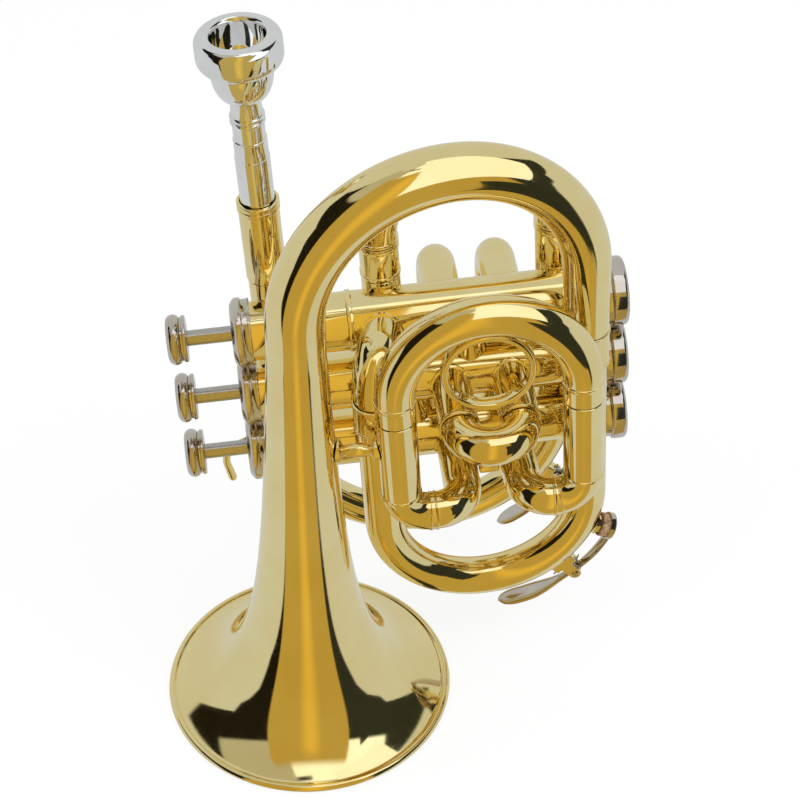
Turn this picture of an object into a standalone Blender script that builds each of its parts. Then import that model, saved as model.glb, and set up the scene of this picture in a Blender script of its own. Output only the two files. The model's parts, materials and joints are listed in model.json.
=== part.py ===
"""Pocket trumpet, standing on the mouth of its bell.

Metres, +Z up. The origin is the centre of the bell's mouth, on the surface that the
trumpet stands on, moved at the end to the middle of the whole object's footprint.
The bell stem is vertical. The rest of the horn leans a little from it, so everything
but the bell is built in a leaning frame, whose x runs along the valves, from the
finger buttons to the bottom caps, and whose z runs up the leadpipe. -y faces the viewer.
"""

import math

import bmesh
import bpy
from mathutils import Matrix, Vector

# General sizes
LEAN = math.radians(3.2)          # the valves and pipes lean from the bell stem
FIT = 0.0003                      # clearance between pieces that touch
WALL = 0.0005                     # tube wall
BIG_SIDES = 14                    # facets round the large bows
TUBE_SIDES = 10                   # facets round the other tubes
BEND_STEP = math.radians(18)      # angle from ring to ring in a bend
SMALL_BEND = 0.0150               # bends under this radius take the coarser step
SMALL_BEND_STEP = math.radians(28)
COLLAR_SLOPE = 0.0003             # length of the step from a tube up to its collar
SEAM_EDGE_ANGLE = math.radians(35)

# Bore tubes and slides
BORE_TUBE_R = 0.0061              # leadpipe, bows and knuckles, outside
LEG_R = 0.0056                    # inner slide legs, outside
PORT_R = 0.0052                   # holes in the valve casings

# Bell
BELL_MOUTH_R = 0.0485
BELL_THROAT_R = 0.0128            # the profile's constant part
BELL_FLARE_LENGTH = 0.0234
BELL_FLARE_POWER = 1.6
BELL_TAPER = 0.0333               # steady taper along the stem
BELL_BEAD = 0.0026                # height of the wire rolled into the rim
BELL_RIM_FLAT = 0.0010            # flat that the trumpet stands on
BELL_BOW_TOP = 0.2076             # height of the bow's centre line
BELL_BOW_BEND = 0.0470            # the bow's bend above the stem; the other one fits
BELL_BOW_SWELL = 0.0004           # the bow is this much fuller at its middle
BELL_END_R = 0.0070
BELL_END_W = 0.1360
BELL_STEM_TOP = 0.1500
BELL_WALL = 0.0006
BELL_SIDES = 20
BELL_STEPS = 12                   # rings from the mouth to the top of the stem
BELL_STEP_GROWTH = 2.2            # the rings crowd towards the mouth

# Bell tail: the loop below the bell bow, back up to the first valve
TAIL_R = 0.0064
TAIL_RIGHT_X = 0.0990
TAIL_RIGHT_Y = 0.0128
TAIL_LEFT_X = 0.0310
TAIL_LEFT_Y = 0.0090
TAIL_BOTTOM_W = 0.0320
TAIL_PORT_X = 0.0380
TAIL_ELBOW_BEND = 0.0120
TAIL_ELBOW_RUN = 0.0055           # straight run from the ferrule's middle to the elbow's bend
FERRULE_WALL = 0.0007
BELL_FERRULE_LENGTH = 0.0130
TAIL_FERRULE_LENGTH = 0.0110

# Valves
VALVE_Y = 0.0340
VALVE_1_W = 0.1316
VALVE_PITCH = 0.0247
CASING_R = 0.0095
CASING_BORE_R = 0.0087
CASING_START = -0.0080
CASING_END = 0.1110
CASING_SEAM_X = 0.0264
CASING_SEAM = 0.0005
CASING_SEAM_LENGTH = 0.0020
CASING_SIDES = 16
PISTON_SIDES = 14
PORT_SIDES = 8
CAP_R = 0.0112
TOP_CAP_START = -0.0112
BOTTOM_CAP_SKIRT = 0.0058         # the skirt's reach over the casing
CAP_WALL = 0.0012
CAP_CHAMFER = 0.0010
TOP_CAP_CHAMFER = 0.0014
TOP_CAP_RIM = 0.0036              # length of the top cap's rim, with its chamfer
TOP_CAP_SKIRT = 0.0034            # the skirt's reach over the casing
TOP_CAP_WALL = 0.0008             # wall of the skirt
CAP_STEP = 0.0005                 # length of the slope from a rim down to its skirt
BOTTOM_CAP_FACE = 0.1149
BOTTOM_CAP_RIM = 0.0054
BOTTOM_CAP_WALL = 0.0008
CAP_RECESS = 0.0008
CAP_RECESS_R = 0.0067
VENT_R = 0.0018
PISTON_START = 0.0240
PISTON_LENGTH = 0.0600
PASSAGE_R = 0.0046
PISTON_WALL = 0.0007
PISTON_HEAD = 0.0035
STEM_R = 0.0025
STEM_CLEARANCE = 0.0005
BUTTON_R = 0.0081
BUTTON_START = -0.0319
BUTTON_THICKNESS = 0.0064
BUTTON_ROUND = 0.0024             # radius of the bead under the fingertip
BUTTON_BAND = 0.0014              # the narrower band behind it
BUTTON_STEP = 0.0006              # from the bead down to the band
BUTTON_SOCKET = 0.0030
SPRING_R = 0.0062
SPRING_WIRE_R = 0.0004
SPRING_TURNS = 5
SPRING_POINTS = 8

# Ports along the valves, and the tubes between neighbouring valves
NEAR_PORT_X = 0.0570
FAR_PORT_X = 0.0766
LINK_12_X = 0.0640
LINK_23_X = 0.0450

# Third slide, the large U in front
THIRD_Y = -0.0040
THIRD_LEFT_X = 0.0366
THIRD_RIGHT_X = 0.0951
THIRD_BOW_RUN = 0.00745           # straight ends of the bow
THIRD_FERRULE = 0.0080
THIRD_COLLAR = 0.0003             # height of the rings at the bow's ends
THIRD_LEG_CLEAR = 0.0056          # from a knuckle up to the leg's end inside the tube
KNUCKLE_BEND = 0.0092
KNUCKLE_DROP = 0.0020             # the knuckles lie this much below the third valve

# Finger ring inside the third slide's bow
RING_R = 0.0147
RING_WALL = 0.0021
RING_DEPTH = 0.0044
RING_CLEAR = 0.0096               # from the second slide's tubes up to the ring
RING_SIDES = 28

# Second slide, the short U towards the viewer
SECOND_OUTER_Y = 0.0044
SECOND_LEG_CLEAR = 0.0071         # from the casing to the legs' ends in the tubes

# First slide, behind the valves and pointing down
FIRST_TURN_Y = 0.0650
FIRST_BEND = 0.0100
FIRST_OUTER_W = 0.0960
FIRST_LEG_CLEAR = 0.0036          # from the tubes' bends to the legs' ends
FIRST_LEG_SHOWN = 0.0120

# Leadpipe side, in the plane behind the valves
BACK_Y = 0.0510
MOUTH_X = 0.0018
MOUTH_TOP_W = 0.2312
MOUTH_LENGTH = 0.0870
MOUTH_RIM_R = 0.0133
MOUTH_RIM_ROUND = 0.0022
MOUTH_RIM_DEPTH = 0.0075          # the rim's outer wall ends here, below the top
MOUTH_RIM_FOOT = 0.0111           # and here it has curved in to the bowl
MOUTH_BOWL_R = 0.0097
MOUTH_BOWL_LOW = 0.0124           # the bowl's side is straight down to here
MOUTH_NECK = 0.0226
MOUTH_NECK_R = 0.0047
MOUTH_STEM_R = 0.0051             # between the neck and the shank
MOUTH_BEADS = (0.0284, 0.0302)    # tops of the two beads
MOUTH_BEAD = 0.0004
MOUTH_BEAD_LENGTH = 0.0016
MOUTH_LINE = 0.0374               # a fine ring round the stem
MOUTH_LINE_LENGTH = 0.0008
MOUTH_LINE_HEIGHT = 0.0002
MOUTH_STEP = 0.0440               # the shank begins here
MOUTH_TAPER = 0.0640              # the shank tapers from here to its tip
CUP_R = 0.0082
CUP_EDGE = 0.0010                 # roundness of the rim's inner edge
CUP_DEPTH = 0.0115
THROAT_LENGTH = 0.0040
THROAT_R = 0.0019
SHANK_R = 0.0055
SHANK_TIP_R = 0.0049
BACKBORE_R = 0.0040
MOUTH_SIDES = 16
RECEIVER_TOP_W = 0.1706
RECEIVER_R = 0.0065
RECEIVER_LENGTH = 0.0300
RECEIVER_WALL = 0.0015            # wall at the low end, where the bore steps in
RECEIVER_BEAD = 0.0004
RECEIVER_EDGE = 0.0006            # the two rings at the top are made up of such steps
BACK_BOW_W = 0.0720
TUNING_LEFT_X = 0.0382
TUNING_RIGHT_X = 0.0951
TUNING_OUTER_TOP_W = 0.1495
TUNING_SLEEVE_LENGTH = 0.0133      # the left outer tube; the inlet carries on below it
TUNING_LEG_DEPTH = 0.0280
TUNING_BEND = 0.0200              # the bow's two corners, with a flat stretch between
TUNING_SOCKET = 0.0025            # straight part of the bow that holds a leg
INLET_BEND = 0.0084

# Brace from the bell to the third slide, and the bar between the knuckles
BRACE_DROP = 0.0048               # the brace lies this much below the tail's ferrule
BRACE_R = 0.0024
BRACE_SWELL = 0.0005
BRACE_FOOT_R = 0.0046
BRACE_FOOT = 0.0026
BRACE_FILLET = 0.0012
BAR_Y = 0.0150
BAR_DEPTH = 0.0070
BAR_THICKNESS = 0.0026

# Hook for the little finger, on the leadpipe
HOOK_W = 0.0740
HOOK_REACH = 0.0170
HOOK_SLOPE = 0.0094               # how far the hook falls along its reach
HOOK_DROP = 0.0222
HOOK_TUCK = 0.0026                # the tip comes back this much
HOOK_R = 0.0017
HOOK_BEND = 0.0080

# Water keys
KEY_ANGLE = math.radians(-51)     # place of the first key's pivot round the tail loop
KEY_2_ANGLE = math.radians(-38)   # place of the second key's pivot round the back bow
KEY_PIVOT_HEIGHT = 0.0062
KEY_PIN_R = 0.0009
KEY_BARREL_R = 0.0021
KEY_BARREL_WIDTH = 0.0044
KEY_EAR = 0.0013
KEY_FOOT_LENGTH = 0.0084
KEY_FOOT_DEPTH = 0.0016
KEY_CORK_LENGTH = 0.0220          # from the pin to the cork, along the bow
KEY_SPOON_LENGTH = 0.0290         # from the pin to the spoon's tip
KEY_ARM_WIDTH = 0.0036
KEY_ARM_THICKNESS = 0.0012
KEY_SPOON_WIDTH = 0.0078
KEY_SPOON_LIFT = 0.0010
CORK_R = 0.0042
CORK_HEIGHT = 0.0040
NIPPLE_R = 0.0030
NIPPLE_BORE_R = 0.0014
NIPPLE_HEIGHT = 0.0014
NIPPLE_FOOT = 0.0006              # the nipple's foot is this much wider
SEAT_ARC = 0.30                   # radians of bow that a key's seats are cut along

# Worked out from the sizes above
OUTER_TUBE_R = LEG_R + FIT + WALL
VALVE_W = [VALVE_1_W - i * VALVE_PITCH for i in range(3)]
PISTON_END = PISTON_START + PISTON_LENGTH
TAIL_END_W = VALVE_W[0] - TAIL_ELBOW_BEND - TAIL_ELBOW_RUN - FIT
BRACE_W = TAIL_END_W - BRACE_DROP
KNUCKLE_W = VALVE_W[2] - KNUCKLE_DROP
RING_W = VALVE_W[1] + OUTER_TUBE_R + RING_CLEAR + RING_R
THIRD_TOP_W = RING_W + RING_R + FIT + OUTER_TUBE_R
THIRD_HALF_SPAN = (THIRD_RIGHT_X - THIRD_LEFT_X) / 2
THIRD_OUTER_TOP_W = THIRD_TOP_W - THIRD_HALF_SPAN - THIRD_BOW_RUN - FIT
TUNING_SEAM_W = TUNING_OUTER_TOP_W - TUNING_SLEEVE_LENGTH
SECOND_LEG_DEPTH = VALVE_Y - CASING_R - SECOND_LEG_CLEAR - SECOND_OUTER_Y
FIRST_LEG_DEPTH = VALVE_W[0] - FIRST_BEND - FIRST_LEG_CLEAR - FIRST_OUTER_W
FAR = 10.0                        # no point of the trumpet lies this far out


def clear_scene():
    for old in list(bpy.data.objects):
        bpy.data.objects.remove(old, do_unlink=True)


def make_material(name, color, roughness, metallic):
    material = bpy.data.materials.new(name)
    material.use_nodes = True
    shader = material.node_tree.nodes["Principled BSDF"]
    shader.inputs["Base Color"].default_value = (*color, 1.0)
    shader.inputs["Roughness"].default_value = roughness
    shader.inputs["Metallic"].default_value = metallic
    return material


clear_scene()
BRASS = make_material("gold_lacquered_brass", (0.90, 0.72, 0.33), 0.10, 1.0)
NICKEL = make_material("nickel_plate", (0.62, 0.57, 0.50), 0.15, 1.0)
SILVER = make_material("silver_plate", (0.80, 0.80, 0.79), 0.08, 1.0)
STEEL = make_material("spring_steel", (0.45, 0.45, 0.46), 0.30, 1.0)
MONEL = make_material("piston_alloy", (0.50, 0.48, 0.45), 0.25, 1.0)
CORK = make_material("cork", (0.42, 0.26, 0.13), 0.90, 0.0)

horn = bpy.data.objects.new("horn_frame", None)
horn.rotation_euler = (0.0, -LEAN, 0.0)
bpy.context.collection.objects.link(horn)
TO_HORN = Matrix.Rotation(LEAN, 4, "Y")      # from the bell's frame to the leaning one


def finish(name, bm, material, origin=(0.0, 0.0, 0.0), parent=horn):
    """Make the object, with its own origin at a point of its parent's frame."""
    bmesh.ops.translate(bm, vec=-Vector(origin), verts=bm.verts)
    bmesh.ops.recalc_face_normals(bm, faces=bm.faces)
    mesh = bpy.data.meshes.new(name)
    bm.to_mesh(mesh)
    bm.free()
    mesh.shade_smooth()
    mesh.set_sharp_from_angle(angle=SEAM_EDGE_ANGLE)
    mesh.materials.append(material)
    part = bpy.data.objects.new(name, mesh)
    part.location = origin
    part.parent = parent
    bpy.context.collection.objects.link(part)
    return part


def route(corners, bends):
    """Stations along straight runs joined by round bends, one radius for each corner.

    A station is a point and the direction of travel there.
    """
    corners = [Vector(corner) for corner in corners]
    stations = [(corners[0], (corners[1] - corners[0]).normalized())]
    for corner, before, after, bend in zip(corners[1:-1], corners, corners[2:], bends):
        to_before = (before - corner).normalized()
        to_after = (after - corner).normalized()
        turn = math.pi - to_before.angle(to_after)
        setback = bend * math.tan(turn / 2)
        middle = corner + (to_before + to_after).normalized() * bend / math.cos(turn / 2)
        axis = to_after.cross(to_before).normalized()
        arm = corner + to_before * setback - middle
        step = BEND_STEP if bend > SMALL_BEND else SMALL_BEND_STEP
        steps = max(2, round(turn / step))
        for i in range(steps + 1):
            rotation = Matrix.Rotation(turn * i / steps, 3, axis)
            stations.append((middle + rotation @ arm, rotation @ -to_before))
    stations.append((corners[-1], (corners[-1] - corners[-2]).normalized()))
    kept = stations[:1]
    for station in stations[1:]:
        if (station[0] - kept[-1][0]).length > 2e-5:
            kept.append(station)
    return kept


def straight(start, end):
    return route([start, end], [])


def polyline(points):
    """Stations of a line through points, each directed between its neighbours."""
    points = [Vector(point) for point in points]
    steps = [(b - a).normalized() for a, b in zip(points, points[1:])]
    ways = [(a + b).normalized() for a, b in zip(steps[:1] + steps, steps + steps[-1:])]
    return list(zip(points, ways))


def travelled(line):
    """Distance of each station from the first."""
    lengths = [0.0]
    for (a, way_a), (b, way_b) in zip(line, line[1:]):
        lengths.append(lengths[-1] + (b - a).length)
    return lengths


def add_stations(line, marks):
    """Insert stations at distances from the start of a line."""
    lengths = travelled(line)
    result = list(zip(lengths, line))
    for mark in marks:
        for i in range(len(line) - 1):
            if lengths[i] + 1e-5 < mark < lengths[i + 1] - 1e-5:
                share = (mark - lengths[i]) / (lengths[i + 1] - lengths[i])
                point = line[i][0].lerp(line[i + 1][0], share)
                way = line[i][1].lerp(line[i + 1][1], share).normalized()
                result.append((mark, (point, way)))
    return sorted(result, key=lambda pair: pair[0])


def frames(line):
    """A frame at each station, its z along the line, turning as little as it can."""
    side = Vector((0.0, 1.0, 0.0))
    if abs(side.dot(line[0][1])) > 0.9:
        side = Vector((0.0, 0.0, 1.0))
    result = []
    for point, way in line:
        side = (side - way * side.dot(way)).normalized()
        turned_to = Matrix((side, way.cross(side), way)).transposed().to_4x4()
        result.append(Matrix.Translation(point) @ turned_to)
    return result


def skin(rings, sides, closed):
    """Circles joined one after the other, each extruded from the one before it.

    A ring is a frame and a radius. A closed skin joins the last ring to the first, which
    makes a tube with a wall, and an open one is capped, which makes a solid rod.
    """
    bm = bmesh.new()
    frame, radius = rings[0]
    quarter = Matrix.Rotation(math.pi / 2, 4, "Z")   # the first corner lies on the frame's x
    made = bmesh.ops.create_circle(bm, segments=sides, radius=radius, matrix=frame @ quarter)
    first = list({edge for vert in made["verts"] for edge in vert.link_edges})
    edges = first
    for next_frame, next_radius in rings[1:]:
        made = bmesh.ops.extrude_edge_only(bm, edges=edges)["geom"]
        verts = [item for item in made if isinstance(item, bmesh.types.BMVert)]
        edges = [item for item in made if isinstance(item, bmesh.types.BMEdge)]
        move = next_frame @ Matrix.Scale(next_radius / radius, 4) @ frame.inverted()
        bmesh.ops.transform(bm, matrix=move, verts=verts)
        frame, radius = next_frame, next_radius
    if closed:
        bmesh.ops.bridge_loops(bm, edges=edges + first)
    else:
        bmesh.ops.edgeloop_fill(bm, edges=first)
        bmesh.ops.edgeloop_fill(bm, edges=edges)
    return bm


def tube(line, radius, wall=WALL, sides=TUBE_SIDES, collars=()):
    """A tube with a wall along a line of stations.

    A collar is (from, to, extra radius); negative distances count from the line's end.
    """
    total = travelled(line)[-1]
    collars = [(a % total, b % total if b % total > 0 else total, extra)
               for a, b, extra in collars]
    marks = [d for a, b, extra in collars for d in (a - COLLAR_SLOPE, a, b, b + COLLAR_SLOPE)]
    placed = add_stations(line, marks)
    radii = []
    for distance, station in placed:
        extras = [extra for a, b, extra in collars if a - 1e-6 <= distance <= b + 1e-6]
        radii.append(radius + sum(extras))
    outside = list(zip(frames([station for distance, station in placed]), radii))
    inside = [(frame, radius - wall) for frame in reversed(frames(line))]
    return skin(outside + inside, sides, closed=True)


def rod(line, radius, sides=TUBE_SIDES):
    """A solid rod along a line of stations; its radius may change on the way."""
    radii = radius if isinstance(radius, list) else [radius] * len(line)
    return skin(list(zip(frames(line), radii)), sides, closed=False)


def arc(middle, radius, start, end, steps=2):
    """Points of a profile round a rounded edge; angles in degrees from the spin axis."""
    angles = [math.radians(start + (end - start) * i / steps) for i in range(steps + 1)]
    return [(middle[0] + radius * math.cos(a), middle[1] + radius * math.sin(a)) for a in angles]


def turned(profile, sides, along="X"):
    """A closed outline of (distance along the axis, radius), spun round the axis."""
    bm = bmesh.new()
    if along == "X":
        places = [Vector((x, r, 0.0)) for x, r in profile]
        axis = (1.0, 0.0, 0.0)
    else:
        places = [Vector((r, 0.0, z)) for z, r in profile]
        axis = (0.0, 0.0, 1.0)
    half = Matrix.Rotation(math.pi / sides, 4, Vector(axis))
    verts = [bm.verts.new(half @ place) for place in places]
    radii = [r for distance, r in profile]
    edges = []
    for i in range(len(verts)):
        if radii[i] + radii[i - 1] > 0:
            edges.append(bm.edges.new((verts[i - 1], verts[i])))
    bmesh.ops.spin(bm, geom=verts + edges, cent=(0, 0, 0), axis=axis, dvec=(0, 0, 0),
                   angle=2 * math.pi, steps=sides, use_merge=True)
    bmesh.ops.remove_doubles(bm, verts=bm.verts, dist=1e-6)
    return bm


def block(size, middle):
    bm = bmesh.new()
    scale = Matrix.Diagonal((*size, 1.0))
    bmesh.ops.create_cube(bm, size=1.0, matrix=Matrix.Translation(Vector(middle)) @ scale)
    return bm


def combine(part, tools, operation="DIFFERENCE"):
    """Cut a part with solids given in its parent's frame, or join them to it."""
    for tool in tools:
        if isinstance(tool, bmesh.types.BMesh):
            tool = finish("tool", tool, BRASS)
        tool.hide_render = True
        tool.display_type = "WIRE"
        change = part.modifiers.new("change", "BOOLEAN")
        change.operation = operation
        change.object = tool
        change.solver = "EXACT"
        bpy.context.view_layer.update()
        graph = bpy.context.evaluated_depsgraph_get()
        mesh = bpy.data.meshes.new_from_object(part.evaluated_get(graph))
        part.modifiers.remove(change)
        part.data = mesh
        bpy.data.objects.remove(tool, do_unlink=True)
    welded = bmesh.new()
    welded.from_mesh(part.data)
    bmesh.ops.dissolve_degenerate(welded, dist=1e-5, edges=welded.edges)
    bmesh.ops.remove_doubles(welded, verts=welded.verts, dist=1e-6)
    welded.to_mesh(part.data)
    welded.free()
    return part


def moved(bm, offset):
    bmesh.ops.translate(bm, vec=Vector(offset), verts=bm.verts)
    return bm


def casing_tool(valve):
    """The space of a valve casing and its clearance, to saddle a tube's end on it."""
    bm = turned([(CASING_START, 0.0), (CASING_START, CASING_R + FIT),
                 (CASING_END, CASING_R + FIT), (CASING_END, 0.0)], CASING_SIDES)
    return moved(bm, (0.0, VALVE_Y, VALVE_W[valve]))


def bell_radius(height):
    """Outside radius of the bell at a height above its mouth."""
    flare = BELL_MOUTH_R - BELL_BEAD / 4 - BELL_THROAT_R
    curve = (1 + height / BELL_FLARE_LENGTH) ** -BELL_FLARE_POWER
    return BELL_THROAT_R + flare * curve - BELL_TAPER * height


def build_bell():
    """Flare, stem and bow in one piece, spun and drawn from sheet, with a wired rim."""
    right = TO_HORN.inverted() @ Vector((TAIL_RIGHT_X, TAIL_RIGHT_Y, BELL_END_W))
    up = TO_HORN.inverted().to_3x3() @ Vector((0.0, 0.0, 1.0))
    rise = (BELL_BOW_TOP - right.z) / up.z
    top_right = right + up * rise
    top_left = Vector((0.0, 0.0, BELL_BOW_TOP))
    across = (top_right - top_left).normalized()
    turn_left = math.pi / 2
    turn_right = math.pi - (-across).angle(-up)
    rest = (top_right - top_left).length - BELL_BOW_BEND * math.tan(turn_left / 2)
    right_bend = rest / math.tan(turn_right / 2)
    stem_top = Vector((0.0, 0.0, BELL_STEM_TOP))
    bow = route([stem_top, top_left, top_right, right], [BELL_BOW_BEND, right_bend])
    bow_frames = frames(bow)
    stem_side = bow_frames[0].to_3x3()
    stem_r = bell_radius(BELL_STEM_TOP)
    run = travelled(bow)
    bow_radii = []
    for distance in run:
        share = distance / run[-1]
        swell = BELL_BOW_SWELL * math.sin(math.pi * share)
        bow_radii.append(stem_r + (BELL_END_R - stem_r) * share + swell)

    def ring(height, radius):
        return Matrix.Translation((0.0, 0.0, height)) @ stem_side.to_4x4(), radius

    shares = [i / BELL_STEPS for i in range(BELL_STEPS)]
    heights = [BELL_STEM_TOP * share ** BELL_STEP_GROWTH for share in shares]
    sheet_rise = BELL_BEAD / 2
    outside = [ring(0.0, BELL_MOUTH_R - BELL_BEAD / 4),
               ring(BELL_BEAD / 4, BELL_MOUTH_R),
               ring(BELL_BEAD * 3 / 4, BELL_MOUTH_R),
               ring(BELL_BEAD, BELL_MOUTH_R - BELL_BEAD / 4),
               ring(BELL_BEAD, BELL_MOUTH_R - BELL_BEAD * 2 / 3)]
    inside = []
    for height in heights[2:]:
        slope = (bell_radius(height + 1e-4) - bell_radius(height)) / 1e-4
        normal = Vector((1.0, -slope)).normalized()
        radius = bell_radius(height)
        outside.append(ring(height + sheet_rise, radius))
        depth, drop = BELL_WALL * normal.x, BELL_WALL * normal.y
        inside.append(ring(height + sheet_rise - drop, radius - depth))
    outside += list(zip(bow_frames, bow_radii))
    bow_inside = [(frame, radius - BELL_WALL) for frame, radius in zip(bow_frames, bow_radii)]
    rim_in = BELL_MOUTH_R - BELL_BEAD / 4 - BELL_RIM_FLAT
    foot = [ring(BELL_BEAD / 4, rim_in - BELL_BEAD / 8), ring(0.0, rim_in)]
    rings = outside + bow_inside[::-1] + inside[::-1] + foot
    finish("bell", skin(rings, BELL_SIDES, closed=True), BRASS, parent=None)


def build_tail():
    """The loop under the bell bow, its two ferrules, and the elbow to the first valve."""
    loop_end = BELL_END_W - BELL_FERRULE_LENGTH / 2
    half = math.hypot(TAIL_RIGHT_X - TAIL_LEFT_X, TAIL_RIGHT_Y - TAIL_LEFT_Y) / 2
    line = route([(TAIL_RIGHT_X, TAIL_RIGHT_Y, loop_end),
                  (TAIL_RIGHT_X, TAIL_RIGHT_Y, TAIL_BOTTOM_W),
                  (TAIL_LEFT_X, TAIL_LEFT_Y, TAIL_BOTTOM_W),
                  (TAIL_LEFT_X, TAIL_LEFT_Y, TAIL_END_W)], [half] * 2)
    finish("bell_tail", tube(line, TAIL_R, sides=BIG_SIDES), BRASS)

    bell_side = BELL_END_W - FIT
    line = straight((TAIL_RIGHT_X, TAIL_RIGHT_Y, bell_side - BELL_FERRULE_LENGTH),
                    (TAIL_RIGHT_X, TAIL_RIGHT_Y, bell_side))
    wall = FERRULE_WALL
    finish("bell_ferrule", tube(line, TAIL_R + FIT + wall, wall, BIG_SIDES), BRASS)

    line = straight((TAIL_LEFT_X, TAIL_LEFT_Y, TAIL_END_W - TAIL_FERRULE_LENGTH / 2),
                    (TAIL_LEFT_X, TAIL_LEFT_Y, TAIL_END_W + TAIL_FERRULE_LENGTH / 2))
    finish("tail_ferrule", tube(line, TAIL_R + FIT + wall, wall, BIG_SIDES), BRASS)

    line = route([(TAIL_LEFT_X, TAIL_LEFT_Y, TAIL_END_W + FIT),
                  (TAIL_LEFT_X, TAIL_LEFT_Y, VALVE_W[0]),
                  (TAIL_PORT_X, VALVE_Y, VALVE_W[0])], [TAIL_ELBOW_BEND])
    elbow = finish("tail_elbow", tube(line, TAIL_R, sides=BIG_SIDES), BRASS)
    combine(elbow, [casing_tool(0)])


def port_tools(valve):
    """Solid plugs that open a casing's ports, from its axis outwards."""
    ways = {
        0: [(TAIL_PORT_X, "front"), (LINK_12_X, "below"),
            (NEAR_PORT_X, "back"), (FAR_PORT_X, "back")],
        1: [(LINK_12_X, "above"), (LINK_23_X, "below"),
            (NEAR_PORT_X, "front"), (FAR_PORT_X, "front")],
        2: [(LINK_23_X, "above"), (TUNING_LEFT_X, "back"),
            (NEAR_PORT_X, "front"), (FAR_PORT_X, "front")],
    }
    reach = CASING_R * 1.5
    sides = {"front": (0, -reach, 0), "back": (0, reach, 0),
             "above": (0, 0, reach), "below": (0, 0, -reach)}
    plugs = []
    for x, way in ways[valve]:
        start = Vector((x, VALVE_Y, VALVE_W[valve]))
        plugs.append(rod(straight(start, start + Vector(sides[way])), PORT_R, PORT_SIDES))
    return plugs


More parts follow.
